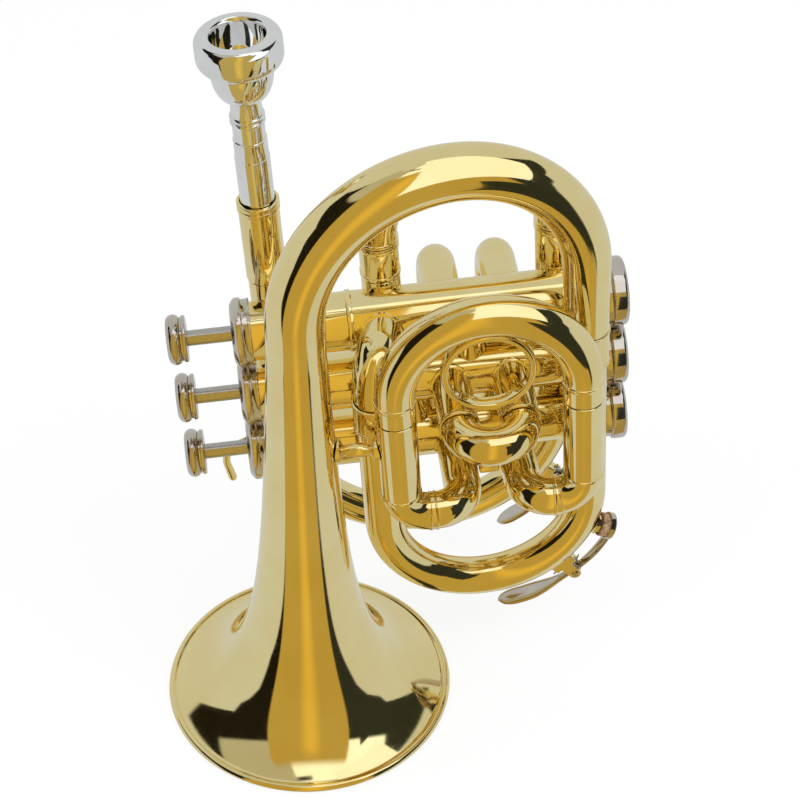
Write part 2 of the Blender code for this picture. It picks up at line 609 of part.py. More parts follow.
def build_valve(valve):
    """Casing, caps, piston with its stem, finger button and spring of one valve."""
    number = valve + 1
    place = Vector((0.0, VALVE_Y, VALVE_W[valve]))
    seam_a = CASING_SEAM_X - CASING_SEAM_LENGTH / 2
    seam_b = CASING_SEAM_X + CASING_SEAM_LENGTH / 2
    casing = finish(f"valve_casing_{number}", moved(turned([
        (CASING_START, CASING_BORE_R), (CASING_START, CASING_R),
        (seam_a, CASING_R), (seam_a + CASING_SEAM / 2, CASING_R + CASING_SEAM),
        (seam_b - CASING_SEAM / 2, CASING_R + CASING_SEAM), (seam_b, CASING_R),
        (CASING_END, CASING_R), (CASING_END, CASING_BORE_R)], CASING_SIDES), place),
        BRASS, place)
    combine(casing, port_tools(valve))

    skirt_r = CASING_R + FIT
    hole_r = STEM_R + STEM_CLEARANCE
    face = TOP_CAP_START
    inner = CASING_START - FIT
    finish(f"top_cap_{number}", moved(turned([
        (face, hole_r), (face, CAP_R - TOP_CAP_CHAMFER), (face + TOP_CAP_CHAMFER, CAP_R),
        (face + TOP_CAP_RIM, CAP_R), (face + TOP_CAP_RIM + CAP_STEP, skirt_r + TOP_CAP_WALL),
        (inner + TOP_CAP_SKIRT, skirt_r + TOP_CAP_WALL), (inner + TOP_CAP_SKIRT, skirt_r),
        (inner, skirt_r), (inner, hole_r)], CASING_SIDES), place), NICKEL, place)

    face = BOTTOM_CAP_FACE
    inner = CASING_END + FIT
    recess = face - CAP_RECESS
    floor = recess - CAP_WALL
    neck_r = skirt_r + BOTTOM_CAP_WALL
    finish(f"bottom_cap_{number}", moved(turned([
        (inner - BOTTOM_CAP_SKIRT, skirt_r), (inner - BOTTOM_CAP_SKIRT, neck_r),
        (face - BOTTOM_CAP_RIM - CAP_STEP, neck_r), (face - BOTTOM_CAP_RIM, CAP_R),
        (face - CAP_CHAMFER, CAP_R), (face, CAP_R - CAP_CHAMFER), (face, CAP_RECESS_R),
        (recess, CAP_RECESS_R - CAP_RECESS), (recess, VENT_R), (floor, VENT_R),
        (floor, CASING_BORE_R), (inner, CASING_BORE_R), (inner, skirt_r)],
        CASING_SIDES), place), NICKEL, place)

    barrel_r = CASING_BORE_R - FIT
    hollow_r = barrel_r - PISTON_WALL
    stem_end = BUTTON_START + BUTTON_THICKNESS - BUTTON_SOCKET + FIT
    piston = finish(f"piston_{number}", moved(turned([
        (stem_end, 0.0), (stem_end, STEM_R), (PISTON_START, STEM_R),
        (PISTON_START, barrel_r), (PISTON_END, barrel_r), (PISTON_END, 0.0)],
        PISTON_SIDES), place), MONEL, place)
    hollow = finish("hollow", moved(turned([
        (PISTON_START + PISTON_HEAD, 0.0), (PISTON_START + PISTON_HEAD, hollow_r),
        (PISTON_END + PISTON_HEAD, hollow_r), (PISTON_END + PISTON_HEAD, 0.0)],
        PISTON_SIDES), place), MONEL)
    walls, passages = [], []
    across = Vector((0.0, barrel_r * 1.5, 0.0))
    for x in (TAIL_PORT_X, NEAR_PORT_X, FAR_PORT_X):
        ends = place + Vector((x, 0.0, 0.0)) - across, place + Vector((x, 0.0, 0.0)) + across
        walls.append(rod(straight(*ends), PASSAGE_R + WALL, PORT_SIDES))
        passages.append(rod(straight(*ends), PASSAGE_R, PORT_SIDES))
    combine(hollow, walls)
    combine(piston, [hollow] + passages)

    a, b = BUTTON_START, BUTTON_START + BUTTON_THICKNESS
    socket_r = STEM_R + FIT
    band_r = BUTTON_R - BUTTON_STEP
    finish(f"finger_button_{number}", moved(turned([
        (a, 0.0), *arc((a + BUTTON_ROUND, BUTTON_R - BUTTON_ROUND), BUTTON_ROUND, 180, 45, 3),
        (b - BUTTON_BAND, band_r - BUTTON_STEP), (b - BUTTON_BAND, band_r), (b, band_r),
        (b, socket_r), (b - BUTTON_SOCKET, socket_r), (b - BUTTON_SOCKET, 0.0)],
        CASING_SIDES), place), NICKEL, place)

    low = PISTON_END + FIT + SPRING_WIRE_R
    high = floor - FIT - SPRING_WIRE_R
    count = SPRING_TURNS * SPRING_POINTS
    coil = bpy.data.curves.new(f"valve_spring_{number}", "CURVE")
    coil.dimensions = "3D"
    coil.bevel_depth = SPRING_WIRE_R
    coil.bevel_resolution = 1
    coil.use_fill_caps = True
    line = coil.splines.new("POLY")
    line.points.add(count)
    for i, point in enumerate(line.points):
        turn = 2 * math.pi * i / SPRING_POINTS
        x = low + (high - low) * i / count
        point.co = (x, SPRING_R * math.cos(turn), SPRING_R * math.sin(turn), 1.0)
    coil.materials.append(STEEL)
    spring = bpy.data.objects.new(f"valve_spring_{number}", coil)
    spring.location = place
    spring.parent = horn
    bpy.context.collection.objects.link(spring)
    gap = (high - low) / SPRING_TURNS - 2 * SPRING_WIRE_R
    print(f"valve spring {number}: least gap between its curls {gap * 1000:.2f} mm")


def build_links():
    """Short tubes that join neighbouring casings."""
    for name, x, upper in (("link_tube_12", LINK_12_X, 0), ("link_tube_23", LINK_23_X, 1)):
        line = straight((x, VALVE_Y, VALVE_W[upper + 1]), (x, VALVE_Y, VALVE_W[upper]))
        link = finish(name, tube(line, BORE_TUBE_R), BRASS)
        combine(link, [casing_tool(upper), casing_tool(upper + 1)])


def build_third_slide():
    """Two knuckles from the third valve, two outer tubes, and the sliding U with its ring."""
    outer_start = KNUCKLE_W + KNUCKLE_BEND
    for side, x, port in (("left", THIRD_LEFT_X, NEAR_PORT_X), ("right", THIRD_RIGHT_X, FAR_PORT_X)):
        line = route([(x, THIRD_Y, outer_start), (x, THIRD_Y, KNUCKLE_W),
                      (port, THIRD_Y, KNUCKLE_W), (port, VALVE_Y, KNUCKLE_W)],
                     [KNUCKLE_BEND] * 2)
        knuckle = finish(f"third_knuckle_{side}", tube(line, BORE_TUBE_R), BRASS)
        combine(knuckle, [casing_tool(2)])

        line = straight((x, THIRD_Y, outer_start + FIT), (x, THIRD_Y, THIRD_OUTER_TOP_W))
        finish(f"third_outer_tube_{side}", tube(line, OUTER_TUBE_R), BRASS)

        bow_start = THIRD_OUTER_TOP_W + FIT
        origin = (x, THIRD_Y, THIRD_OUTER_TOP_W)
        line = straight((x, THIRD_Y, outer_start + THIRD_LEG_CLEAR),
                        (x, THIRD_Y, bow_start + THIRD_FERRULE / 2))
        finish(f"third_leg_{side}", tube(line, LEG_R), NICKEL, origin)

    line = route([(THIRD_LEFT_X, THIRD_Y, bow_start), (THIRD_LEFT_X, THIRD_Y, THIRD_TOP_W),
                  (THIRD_RIGHT_X, THIRD_Y, THIRD_TOP_W), (THIRD_RIGHT_X, THIRD_Y, bow_start)],
                 [THIRD_HALF_SPAN] * 2)
    bm = tube(line, OUTER_TUBE_R, WALL, BIG_SIDES,
              [(0.0, THIRD_FERRULE, THIRD_COLLAR), (-THIRD_FERRULE, -1e-9, THIRD_COLLAR)])
    finish("third_slide_bow", bm, BRASS, (THIRD_LEFT_X, THIRD_Y, THIRD_OUTER_TOP_W))

    middle = THIRD_LEFT_X + THIRD_HALF_SPAN
    half_depth = RING_DEPTH / 2
    inner = RING_R - RING_WALL
    bm = turned([(-half_depth, inner), (-half_depth, RING_R), (half_depth, RING_R),
                 (half_depth, inner)], RING_SIDES, "Z")
    upright = Matrix.Rotation(math.pi / 2, 3, "X")
    bmesh.ops.rotate(bm, cent=(0, 0, 0), matrix=upright, verts=bm.verts)
    origin = (middle, THIRD_Y, RING_W)
    finish("finger_ring", moved(bm, origin), BRASS, origin)


def build_second_slide():
    """Two outer tubes from the second valve and the short U that slides in them."""
    w = VALVE_W[1]
    for side, x in (("left", NEAR_PORT_X), ("right", FAR_PORT_X)):
        line = straight((x, SECOND_OUTER_Y, w), (x, VALVE_Y, w))
        outer = finish(f"second_outer_tube_{side}", tube(line, OUTER_TUBE_R), BRASS)
        combine(outer, [casing_tool(1)])
    half = (FAR_PORT_X - NEAR_PORT_X) / 2
    inside = SECOND_OUTER_Y + SECOND_LEG_DEPTH
    tip = SECOND_OUTER_Y - FIT - half
    line = route([(NEAR_PORT_X, inside, w), (NEAR_PORT_X, tip, w),
                  (FAR_PORT_X, tip, w), (FAR_PORT_X, inside, w)], [half] * 2)
    collar = OUTER_TUBE_R - FIT - LEG_R
    total = SECOND_LEG_DEPTH + FIT + COLLAR_SLOPE
    span = travelled(line)[-1]
    bm = tube(line, LEG_R, WALL, TUBE_SIDES, [(total, span - total, collar)])
    finish("second_slide", bm, BRASS, (NEAR_PORT_X, SECOND_OUTER_Y, w))


def build_first_slide():
    """Two outer tubes that leave the first valve and turn down, and their sliding U."""
    w = VALVE_W[0]
    for side, x in (("left", NEAR_PORT_X), ("right", FAR_PORT_X)):
        line = route([(x, VALVE_Y, w), (x, FIRST_TURN_Y, w), (x, FIRST_TURN_Y, FIRST_OUTER_W)],
                     [FIRST_BEND])
        outer = finish(f"first_outer_tube_{side}", tube(line, OUTER_TUBE_R), BRASS)
        combine(outer, [casing_tool(0)])
    half = (FAR_PORT_X - NEAR_PORT_X) / 2
    low = FIRST_OUTER_W - FIRST_LEG_SHOWN - half
    inside = FIRST_OUTER_W + FIRST_LEG_DEPTH
    line = route([(NEAR_PORT_X, FIRST_TURN_Y, inside), (NEAR_PORT_X, FIRST_TURN_Y, low),
                  (FAR_PORT_X, FIRST_TURN_Y, low), (FAR_PORT_X, FIRST_TURN_Y, inside)],
                 [half] * 2)
    collar = OUTER_TUBE_R - FIT - LEG_R
    total = FIRST_LEG_DEPTH + FIT + COLLAR_SLOPE
    span = travelled(line)[-1]
    bm = tube(line, LEG_R, WALL, TUBE_SIDES, [(total, span - total, collar)])
    finish("first_slide", bm, BRASS, (NEAR_PORT_X, FIRST_TURN_Y, FIRST_OUTER_W))


def bowl_side(low, low_r, high, high_r, steps):
    """A quarter of an ellipse that flares out from a neck and ends in a straight side."""
    points = []
    for i in range(steps + 1):
        angle = math.pi / 2 * i / steps
        points.append((low + (high - low) * (1 - math.cos(angle)),
                       low_r + (high_r - low_r) * math.sin(angle)))
    return points


def ring_round(top, length, radius, height):
    """Outline of a small raised ring, from its low side up; top is a depth below the rim."""
    low = -top - length
    return [(low, radius), (low + height, radius + height),
            (-top - height, radius + height), (-top, radius)]


def build_mouthpiece():
    """Silver mouthpiece, turned: rim, cup, throat and backbore, bowl, bead and shank."""
    end = -MOUTH_LENGTH
    round_r = MOUTH_RIM_ROUND
    cup_end = -CUP_DEPTH
    beads = [point for top in reversed(MOUTH_BEADS)
             for point in ring_round(top, MOUTH_BEAD_LENGTH, MOUTH_STEM_R, MOUTH_BEAD)]
    outline = [
        (end, SHANK_TIP_R), (-MOUTH_TAPER, SHANK_R), (-MOUTH_STEP, SHANK_R),
        (-MOUTH_STEP, MOUTH_STEM_R),
        *ring_round(MOUTH_LINE, MOUTH_LINE_LENGTH, MOUTH_STEM_R, MOUTH_LINE_HEIGHT), *beads,
        *bowl_side(-MOUTH_NECK, MOUTH_NECK_R, -MOUTH_BOWL_LOW, MOUTH_BOWL_R, 3),
        *bowl_side(-MOUTH_RIM_FOOT, MOUTH_BOWL_R, -MOUTH_RIM_DEPTH, MOUTH_RIM_R, 2),
        *arc((-round_r, MOUTH_RIM_R - round_r), round_r, 90, 0),
        *arc((-CUP_EDGE, CUP_R + CUP_EDGE), CUP_EDGE, 0, -90),
        (cup_end * 0.45, CUP_R * 0.86), (cup_end * 0.85, CUP_R * 0.5),
        (cup_end, THROAT_R), (cup_end - THROAT_LENGTH, THROAT_R), (end, BACKBORE_R)]
    bm = turned(outline, MOUTH_SIDES, "Z")
    origin = (MOUTH_X, BACK_Y, MOUTH_TOP_W)
    finish("mouthpiece", moved(bm, origin), SILVER, origin)


def shank_radius_at(w):
    """Outside radius of the mouthpiece's shank at a height in the receiver."""
    low = MOUTH_TOP_W - MOUTH_LENGTH
    high = MOUTH_TOP_W - MOUTH_TAPER
    share = min(max((w - low) / (high - low), 0.0), 1.0)
    return SHANK_TIP_R + (SHANK_R - SHANK_TIP_R) * share


def build_leadpipe():
    """Receiver, leadpipe, back bow and the tubes of the tuning slide."""
    top, low = RECEIVER_TOP_W, RECEIVER_TOP_W - RECEIVER_LENGTH
    radius = RECEIVER_R
    bore_top = shank_radius_at(top) + FIT
    bore_low = radius - RECEIVER_WALL
    tip = MOUTH_TOP_W - MOUTH_LENGTH
    bead = radius + RECEIVER_BEAD
    edge = RECEIVER_EDGE
    outline = [(low, bore_low), (low, radius), (top - edge * 8, radius), (top - edge * 7, bead),
               (top - edge * 5, bead), (top - edge * 4, radius),
               (top - edge * 3, bead), (top - edge, bead), (top, bead - edge / 2),
               (top, bore_top), (tip, SHANK_TIP_R + FIT), (tip - FIT * 2, bore_low)]
    bm = turned(outline, BIG_SIDES, "Z")
    finish("receiver", moved(bm, (MOUTH_X, BACK_Y, 0.0)), BRASS)

    line = straight((MOUTH_X, BACK_Y, BACK_BOW_W + FIT), (MOUTH_X, BACK_Y, low - FIT))
    finish("leadpipe", tube(line, BORE_TUBE_R), BRASS)

    half = (TUNING_RIGHT_X - MOUTH_X) / 2
    low = BACK_BOW_W - half
    line = route([(MOUTH_X, BACK_Y, BACK_BOW_W), (MOUTH_X, BACK_Y, low),
                  (TUNING_RIGHT_X, BACK_Y, low), (TUNING_RIGHT_X, BACK_Y, BACK_BOW_W)],
                 [half] * 2)
    finish("leadpipe_bow", tube(line, BORE_TUBE_R, sides=BIG_SIDES), BRASS)

    line = straight((TUNING_RIGHT_X, BACK_Y, BACK_BOW_W + FIT),
                    (TUNING_RIGHT_X, BACK_Y, TUNING_OUTER_TOP_W))
    finish("tuning_outer_tube_right", tube(line, OUTER_TUBE_R), BRASS)
    line = straight((TUNING_LEFT_X, BACK_Y, TUNING_SEAM_W + FIT),
                    (TUNING_LEFT_X, BACK_Y, TUNING_OUTER_TOP_W))
    finish("tuning_outer_tube_left", tube(line, OUTER_TUBE_R), BRASS)

    line = route([(TUNING_LEFT_X, BACK_Y, TUNING_SEAM_W), (TUNING_LEFT_X, BACK_Y, VALVE_W[2]),
                  (TUNING_LEFT_X, VALVE_Y, VALVE_W[2])], [INLET_BEND])
    inlet = finish("valve_3_inlet", tube(line, OUTER_TUBE_R), BRASS)
    combine(inlet, [casing_tool(2)])


def build_tuning_slide():
    """The bow over the valves and its two legs."""
    start = TUNING_OUTER_TOP_W + FIT
    for side, x in (("left", TUNING_LEFT_X), ("right", TUNING_RIGHT_X)):
        depth = TUNING_LEG_DEPTH
        line = straight((x, BACK_Y, TUNING_OUTER_TOP_W - depth),
                        (x, BACK_Y, start + TUNING_SOCKET - FIT))
        origin = (x, BACK_Y, TUNING_OUTER_TOP_W)
        finish(f"tuning_leg_{side}", tube(line, LEG_R), NICKEL, origin)
    top = start + TUNING_SOCKET + TUNING_BEND
    line = route([(TUNING_LEFT_X, BACK_Y, start), (TUNING_LEFT_X, BACK_Y, top),
                  (TUNING_RIGHT_X, BACK_Y, top), (TUNING_RIGHT_X, BACK_Y, start)],
                 [TUNING_BEND] * 2)
    bm = tube(line, OUTER_TUBE_R, WALL, BIG_SIDES)
    finish("tuning_slide_bow", bm, BRASS, (TUNING_LEFT_X, BACK_Y, TUNING_OUTER_TOP_W))


def build_braces():
    """Brace from the bell to the third slide, and the bar between its knuckles."""
    bell_axis = TO_HORN @ Vector((0.0, 0.0, BRACE_W))
    start = Vector((bell_axis.x, 0.0, BRACE_W))
    end = Vector((THIRD_LEFT_X, THIRD_Y, BRACE_W))
    way = (end - start).normalized()
    bell_r = bell_radius(BRACE_W - BELL_BEAD / 2) + FIT
    tube_r = OUTER_TUBE_R + FIT
    length = (end - start).length
    a, b = bell_r - BRACE_FOOT / 4, length - tube_r + BRACE_FOOT / 4
    foot_a, foot_b = bell_r + BRACE_FOOT / 2, length - tube_r - BRACE_FOOT / 2
    distances = [a, foot_a, foot_a + BRACE_FILLET, (a + b) / 2, foot_b - BRACE_FILLET,
                 foot_b, b]
    radii = [BRACE_FOOT_R, BRACE_FOOT_R, BRACE_R, BRACE_R + BRACE_SWELL, BRACE_R,
             BRACE_FOOT_R, BRACE_FOOT_R]
    bm = rod(polyline([start + way * d for d in distances]), radii)
    brace = finish("bell_brace", bm, BRASS)
    long = Vector((0.0, 0.0, BRACE_FOOT_R * 3))
    stem = TO_HORN.to_3x3() @ Vector((0.0, 0.0, 1.0)) * BRACE_FOOT_R * 3
    combine(brace, [rod(straight(start - stem, start + stem), bell_r, BELL_SIDES),
                    rod(straight(end - long, end + long), tube_r)])

    gap_start = NEAR_PORT_X + BORE_TUBE_R + FIT
    gap_end = FAR_PORT_X - BORE_TUBE_R - FIT
    size = (gap_end - gap_start, BAR_DEPTH, BAR_THICKNESS)
    bm = block(size, ((gap_start + gap_end) / 2, BAR_Y, KNUCKLE_W))
    bmesh.ops.bevel(bm, geom=bm.edges, offset=BAR_THICKNESS / 6, segments=1, profile=0.5,
                    affect="EDGES")
    finish("knuckle_brace", bm, BRASS)


def build_hook():
    """Hook for the little finger: out from the leadpipe, down, and ending in a knob."""
    seat_r = BORE_TUBE_R + FIT
    x = MOUTH_X - seat_r
    line = route([(x + BORE_TUBE_R / 3, BACK_Y, HOOK_W),
                  (x - HOOK_REACH, BACK_Y, HOOK_W - HOOK_SLOPE),
                  (x - HOOK_REACH + HOOK_TUCK, BACK_Y, HOOK_W - HOOK_DROP)], [HOOK_BEND])
    line = [station for distance, station in add_stations(line, [BORE_TUBE_R * 0.6])]
    radii = [HOOK_R] * len(line)
    radii[0] = HOOK_R * 1.9
    radii[-1] = HOOK_R * 0.8
    hook = finish("pinky_hook", rod(line, radii, 8), BRASS)
    high = Vector((MOUTH_X, BACK_Y, HOOK_W + HOOK_REACH))
    low = Vector((MOUTH_X, BACK_Y, HOOK_W - HOOK_REACH))
    combine(hook, [rod(straight(low, high), seat_r)])


def key_frame(middle, turn_radius, angle):
    """A frame on the outer side of a bow: x away from the tube, z on along the bow."""
    away = Vector((math.cos(angle), 0.0, math.sin(angle)))
    along = Vector((-math.sin(angle), 0.0, math.cos(angle)))
    side = along.cross(away)
    turned_to = Matrix((away, side, along)).transposed().to_4x4()
    return Matrix.Translation(Vector(middle) + away * turn_radius) @ turned_to


def bow_space(middle, bend, tube_r, angle):
    """The space of a short stretch of bow and its clearance, to seat a key's pieces on it."""
    turns = [angle + SEAT_ARC * share for share in (-1, -0.5, 0, 0.5, 1)]
    seat = [key_frame(middle, bend, turn).to_translation() for turn in turns]
    return rod(polyline(seat), tube_r + FIT, BIG_SIDES)


def build_water_key(number, middle, bend, tube_r, angle):
    """Saddle with its pin, nipple, cork and lever of a water key on a bow."""
    surface = bend + tube_r
    pivot_r = surface + FIT + KEY_PIVOT_HEIGHT
    pivot = key_frame(middle, pivot_r, angle)
    ear_middle = KEY_BARREL_WIDTH / 2 + FIT + KEY_EAR / 2
    foot = KEY_FOOT_DEPTH
    ear_size = (KEY_PIVOT_HEIGHT + KEY_BARREL_R - foot / 2, KEY_EAR, KEY_BARREL_R * 2)
    ear_x = (KEY_BARREL_R - KEY_PIVOT_HEIGHT + foot / 2) / 2
    base_x = -KEY_PIVOT_HEIGHT
    base = block((foot * 2, (ear_middle + KEY_EAR / 2) * 2, KEY_FOOT_LENGTH), (base_x, 0.0, 0.0))
    bmesh.ops.transform(base, matrix=pivot, verts=base.verts)
    saddle = finish(f"water_key_saddle_{number}", base, BRASS)
    tools = []
    for side in (-1, 1):
        ear = block(ear_size, (ear_x, side * ear_middle, 0.0))
        tools.append(ear)
    half = ear_middle + KEY_EAR / 4
    tools.append(rod(straight((0, -half, 0), (0, half, 0)), KEY_PIN_R, 8))
    for tool in tools:
        bmesh.ops.transform(tool, matrix=pivot, verts=tool.verts)
    combine(saddle, tools, "UNION")
    combine(saddle, [bow_space(middle, bend, tube_r, angle)])

    cork_angle = angle + KEY_CORK_LENGTH / pivot_r
    port = key_frame(middle, surface, cork_angle)
    low = -NIPPLE_HEIGHT * 1.5
    base = turned([(low, NIPPLE_BORE_R), (low, NIPPLE_R + NIPPLE_FOOT),
                   (NIPPLE_HEIGHT * 0.4, NIPPLE_R), (NIPPLE_HEIGHT, NIPPLE_R),
                   (NIPPLE_HEIGHT, NIPPLE_BORE_R)], TUBE_SIDES)
    bmesh.ops.transform(base, matrix=port, verts=base.verts)
    nipple = finish(f"water_key_nipple_{number}", base, BRASS)
    combine(nipple, [bow_space(middle, bend, tube_r, cork_angle)])

    cork_low = NIPPLE_HEIGHT + FIT
    cork_top = cork_low + CORK_HEIGHT
    bm = turned([(cork_low, 0.0), (cork_low, CORK_R * 0.94), (cork_top, CORK_R),
                 (cork_top, 0.0)], TUBE_SIDES)
    bmesh.ops.transform(bm, matrix=port, verts=bm.verts)
    origin = pivot.to_translation()
    finish(f"water_key_cork_{number}", bm, CORK, origin)

    build_key_lever(number, middle, pivot_r, angle, cork_angle, surface + cork_top + FIT)


def build_key_lever(number, middle, pivot_r, angle, cork_angle, cup_r):
    """Lever that follows the bow: cup over the cork, arm, barrel on the pin, and spoon."""
    spoon_angle = KEY_SPOON_LENGTH / pivot_r
    cork_turn = cork_angle - angle
    thick = KEY_ARM_THICKNESS
    arm_r = pivot_r + KEY_BARREL_R * 0.4
    stations = []
    steps = 9
    for i in range(steps + 1):
        share = i / steps
        turn = -spoon_angle * (1 - share)
        spoon = math.sin(math.pi * min(1.0, (1 - share) * 1.35 + 0.08)) if share < 0.75 else 0.0
        width = KEY_ARM_WIDTH + (KEY_SPOON_WIDTH - KEY_ARM_WIDTH) * max(0.0, spoon)
        if i == 0:
            width = KEY_ARM_WIDTH
        lift = KEY_SPOON_LIFT * (1 - share)
        stations.append((angle + turn, arm_r + lift, width))
    top_r = cup_r + thick / 2
    for share in (0.35, 0.62, 0.82, 1.0, 1.2):
        turn = cork_turn * share
        drop = min(1.0, share / 0.82)
        radius = arm_r + (top_r - arm_r) * drop
        width = KEY_ARM_WIDTH if share < 0.7 else CORK_R * (2.0 if share == 1.0 else 1.2)
        stations.append((angle + turn, radius, width))
    bm = bmesh.new()
    previous = None
    for turn, radius, width in stations:
        frame = key_frame(middle, radius, turn)
        corners = [(-thick / 2, -width / 2), (thick / 2, -width / 2),
                   (thick / 2, width / 2), (-thick / 2, width / 2)]
        if previous is None:
            verts = [bm.verts.new(frame @ Vector((x, y, 0.0))) for x, y in corners]
            edges = [bm.edges.new(pair) for pair in zip(verts, verts[1:] + verts[:1])]
            bmesh.ops.edgeloop_fill(bm, edges=edges)
        else:
            made = bmesh.ops.extrude_edge_only(bm, edges=edges)["geom"]
            edges = [item for item in made if isinstance(item, bmesh.types.BMEdge)]
            lookup = {}
            for vert in [item for item in made if isinstance(item, bmesh.types.BMVert)]:
                local = previous[0].inverted() @ vert.co
                lookup[vert] = (math.copysign(1, local.x), math.copysign(1, local.y))
            for vert, (x, y) in lookup.items():
                vert.co = frame @ Vector((x * thick / 2, y * width / 2, 0.0))
        previous = (frame, width)
    bmesh.ops.edgeloop_fill(bm, edges=edges)
    pivot = key_frame(middle, pivot_r, angle)
    origin = pivot.to_translation()
    lever = finish(f"water_key_lever_{number}", bm, NICKEL, origin)
    half = Vector((0.0, KEY_BARREL_WIDTH / 2, 0.0))
    barrel = rod(straight(-half, half), KEY_BARREL_R)
    hole = rod(straight(half * -1.5, half * 1.5), KEY_PIN_R + FIT, 8)
    for tool in (barrel, hole):
        bmesh.ops.transform(tool, matrix=pivot, verts=tool.verts)
    combine(lever, [barrel], "UNION")
    combine(lever, [hole])


def build_water_keys():
    half = (TAIL_RIGHT_X - TAIL_LEFT_X) / 2
    middle = ((TAIL_RIGHT_X + TAIL_LEFT_X) / 2, 0.0, TAIL_BOTTOM_W + half)
    share = (1 + math.cos(KEY_ANGLE)) / 2
    y = TAIL_LEFT_Y + (TAIL_RIGHT_Y - TAIL_LEFT_Y) * share
    build_water_key(1, (middle[0], y, middle[2]), half, TAIL_R, KEY_ANGLE)
    half = (TUNING_RIGHT_X - MOUTH_X) / 2
    middle = ((TUNING_RIGHT_X + MOUTH_X) / 2, BACK_Y, BACK_BOW_W)
    build_water_key(2, middle, half, BORE_TUBE_R, KEY_2_ANGLE)


def centre_on_footprint():
    """Move everything so that the middle of the object's box is over the origin."""
    bpy.context.view_layer.update()
    graph = bpy.context.evaluated_depsgraph_get()
    low = Vector((FAR, FAR, FAR))
    high = -low
    for part in bpy.data.objects:
        if part.type == "EMPTY":
            continue
        shape = part.evaluated_get(graph)
        mesh = shape.to_mesh()
        for vert in mesh.vertices:
            place = shape.matrix_world @ vert.co
            low = Vector(map(min, low, place))
            high = Vector(map(max, high, place))
        shape.to_mesh_clear()
    shift = -(low + high) / 2
    shift.z = 0.0
    horn.location = horn.location + shift
    bell = bpy.data.objects["bell"]
    bell.location = bell.location + shift
    print(f"footprint centre moved by {shift.x * 1000:.3f} {shift.y * 1000:.3f} mm")


build_bell()
build_tail()
for index in range(3):
    build_valve(index)
build_links()
build_third_slide()
build_second_slide()
build_first_slide()
build_mouthpiece()
build_leadpipe()
build_tuning_slide()
build_braces()
build_hook()
build_water_keys()
centre_on_footprint()
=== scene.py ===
import json
import math

import bmesh
import bpy
from mathutils import Matrix, Vector


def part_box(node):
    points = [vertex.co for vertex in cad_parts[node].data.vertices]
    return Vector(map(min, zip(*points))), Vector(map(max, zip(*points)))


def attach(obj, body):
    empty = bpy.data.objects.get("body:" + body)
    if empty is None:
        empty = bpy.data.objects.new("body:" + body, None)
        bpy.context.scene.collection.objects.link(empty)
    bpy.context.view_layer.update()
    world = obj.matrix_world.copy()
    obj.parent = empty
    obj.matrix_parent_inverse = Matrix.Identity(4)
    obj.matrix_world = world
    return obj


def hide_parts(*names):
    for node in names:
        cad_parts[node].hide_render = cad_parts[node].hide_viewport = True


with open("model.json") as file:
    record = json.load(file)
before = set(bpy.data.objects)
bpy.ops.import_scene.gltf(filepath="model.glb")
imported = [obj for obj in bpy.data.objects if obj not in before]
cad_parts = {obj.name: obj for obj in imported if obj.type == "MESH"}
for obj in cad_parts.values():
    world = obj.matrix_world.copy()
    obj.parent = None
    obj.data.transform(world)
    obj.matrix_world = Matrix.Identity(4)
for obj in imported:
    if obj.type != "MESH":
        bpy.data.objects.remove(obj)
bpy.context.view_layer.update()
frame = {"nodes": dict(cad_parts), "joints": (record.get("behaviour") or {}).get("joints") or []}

general = {
    "sides": 64,            # round the tubes
    "bowSides": 80,         # round the bell and the large bows
    "bendStep": 3.0,        # degrees from ring to ring in a bend
    "fit": 0.3,             # clearance where pieces meet, mm as everything below
    "wall": 0.5,
    "edge": 0.15,           # rounding of a tube's end
    "sharp": 32.0,          # degrees, edges over this stay crisp
}


# where the horn stands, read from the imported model

def jointNamed(name):
    return next(joint for joint in frame["joints"] if joint["name"] == name)


bellLow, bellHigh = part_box("bell")
bellFront = (bellHigh.y - bellLow.y) / 2
mouthCentre = Vector((bellLow.x + bellFront, (bellLow.y + bellHigh.y) / 2, 0.0))
pressWay = Vector(jointNamed("valve_1_press")["axis"]).normalized()
pullWay = Vector(jointNamed("mouthpiece_pull")["axis"]).normalized()
hornAxes = Matrix((pressWay, pullWay.cross(pressWay), pullWay)).transposed().to_4x4()
bellPlace = Matrix.Translation(mouthCentre) @ Matrix.Scale(0.001, 4)
hornPlace = Matrix.Translation(mouthCentre) @ hornAxes @ Matrix.Scale(0.001, 4)
toHorn = hornPlace.inverted()


# lowest and highest corner of a node in the leaning frame, in mm
def hornBox(node):
    spots = [toHorn @ vert.co for vert in frame["nodes"][node].data.vertices]
    low = Vector([min(spot[i] for spot in spots) for i in range(3)])
    high = Vector([max(spot[i] for spot in spots) for i in range(3)])
    return low, high


def nodeMiddle(node):
    low, high = hornBox(node)
    return (low + high) / 2


# finishes

# a plain shader, to which the functions below add noise over the piece's own surface
def newMaterial(name, color, roughness, metallic=1.0, coat=0.0, coatRoughness=0.03):
    material = bpy.data.materials.new(name)
    material.use_nodes = True
    nodes = material.node_tree.nodes
    shader = nodes["Principled BSDF"]
    shader.inputs["Metallic"].default_value = metallic
    shader.inputs["Base Color"].default_value = (*color, 1.0)
    shader.inputs["Roughness"].default_value = roughness
    shader.inputs["Coat Weight"].default_value = coat
    shader.inputs["Coat Roughness"].default_value = coatRoughness
    return material


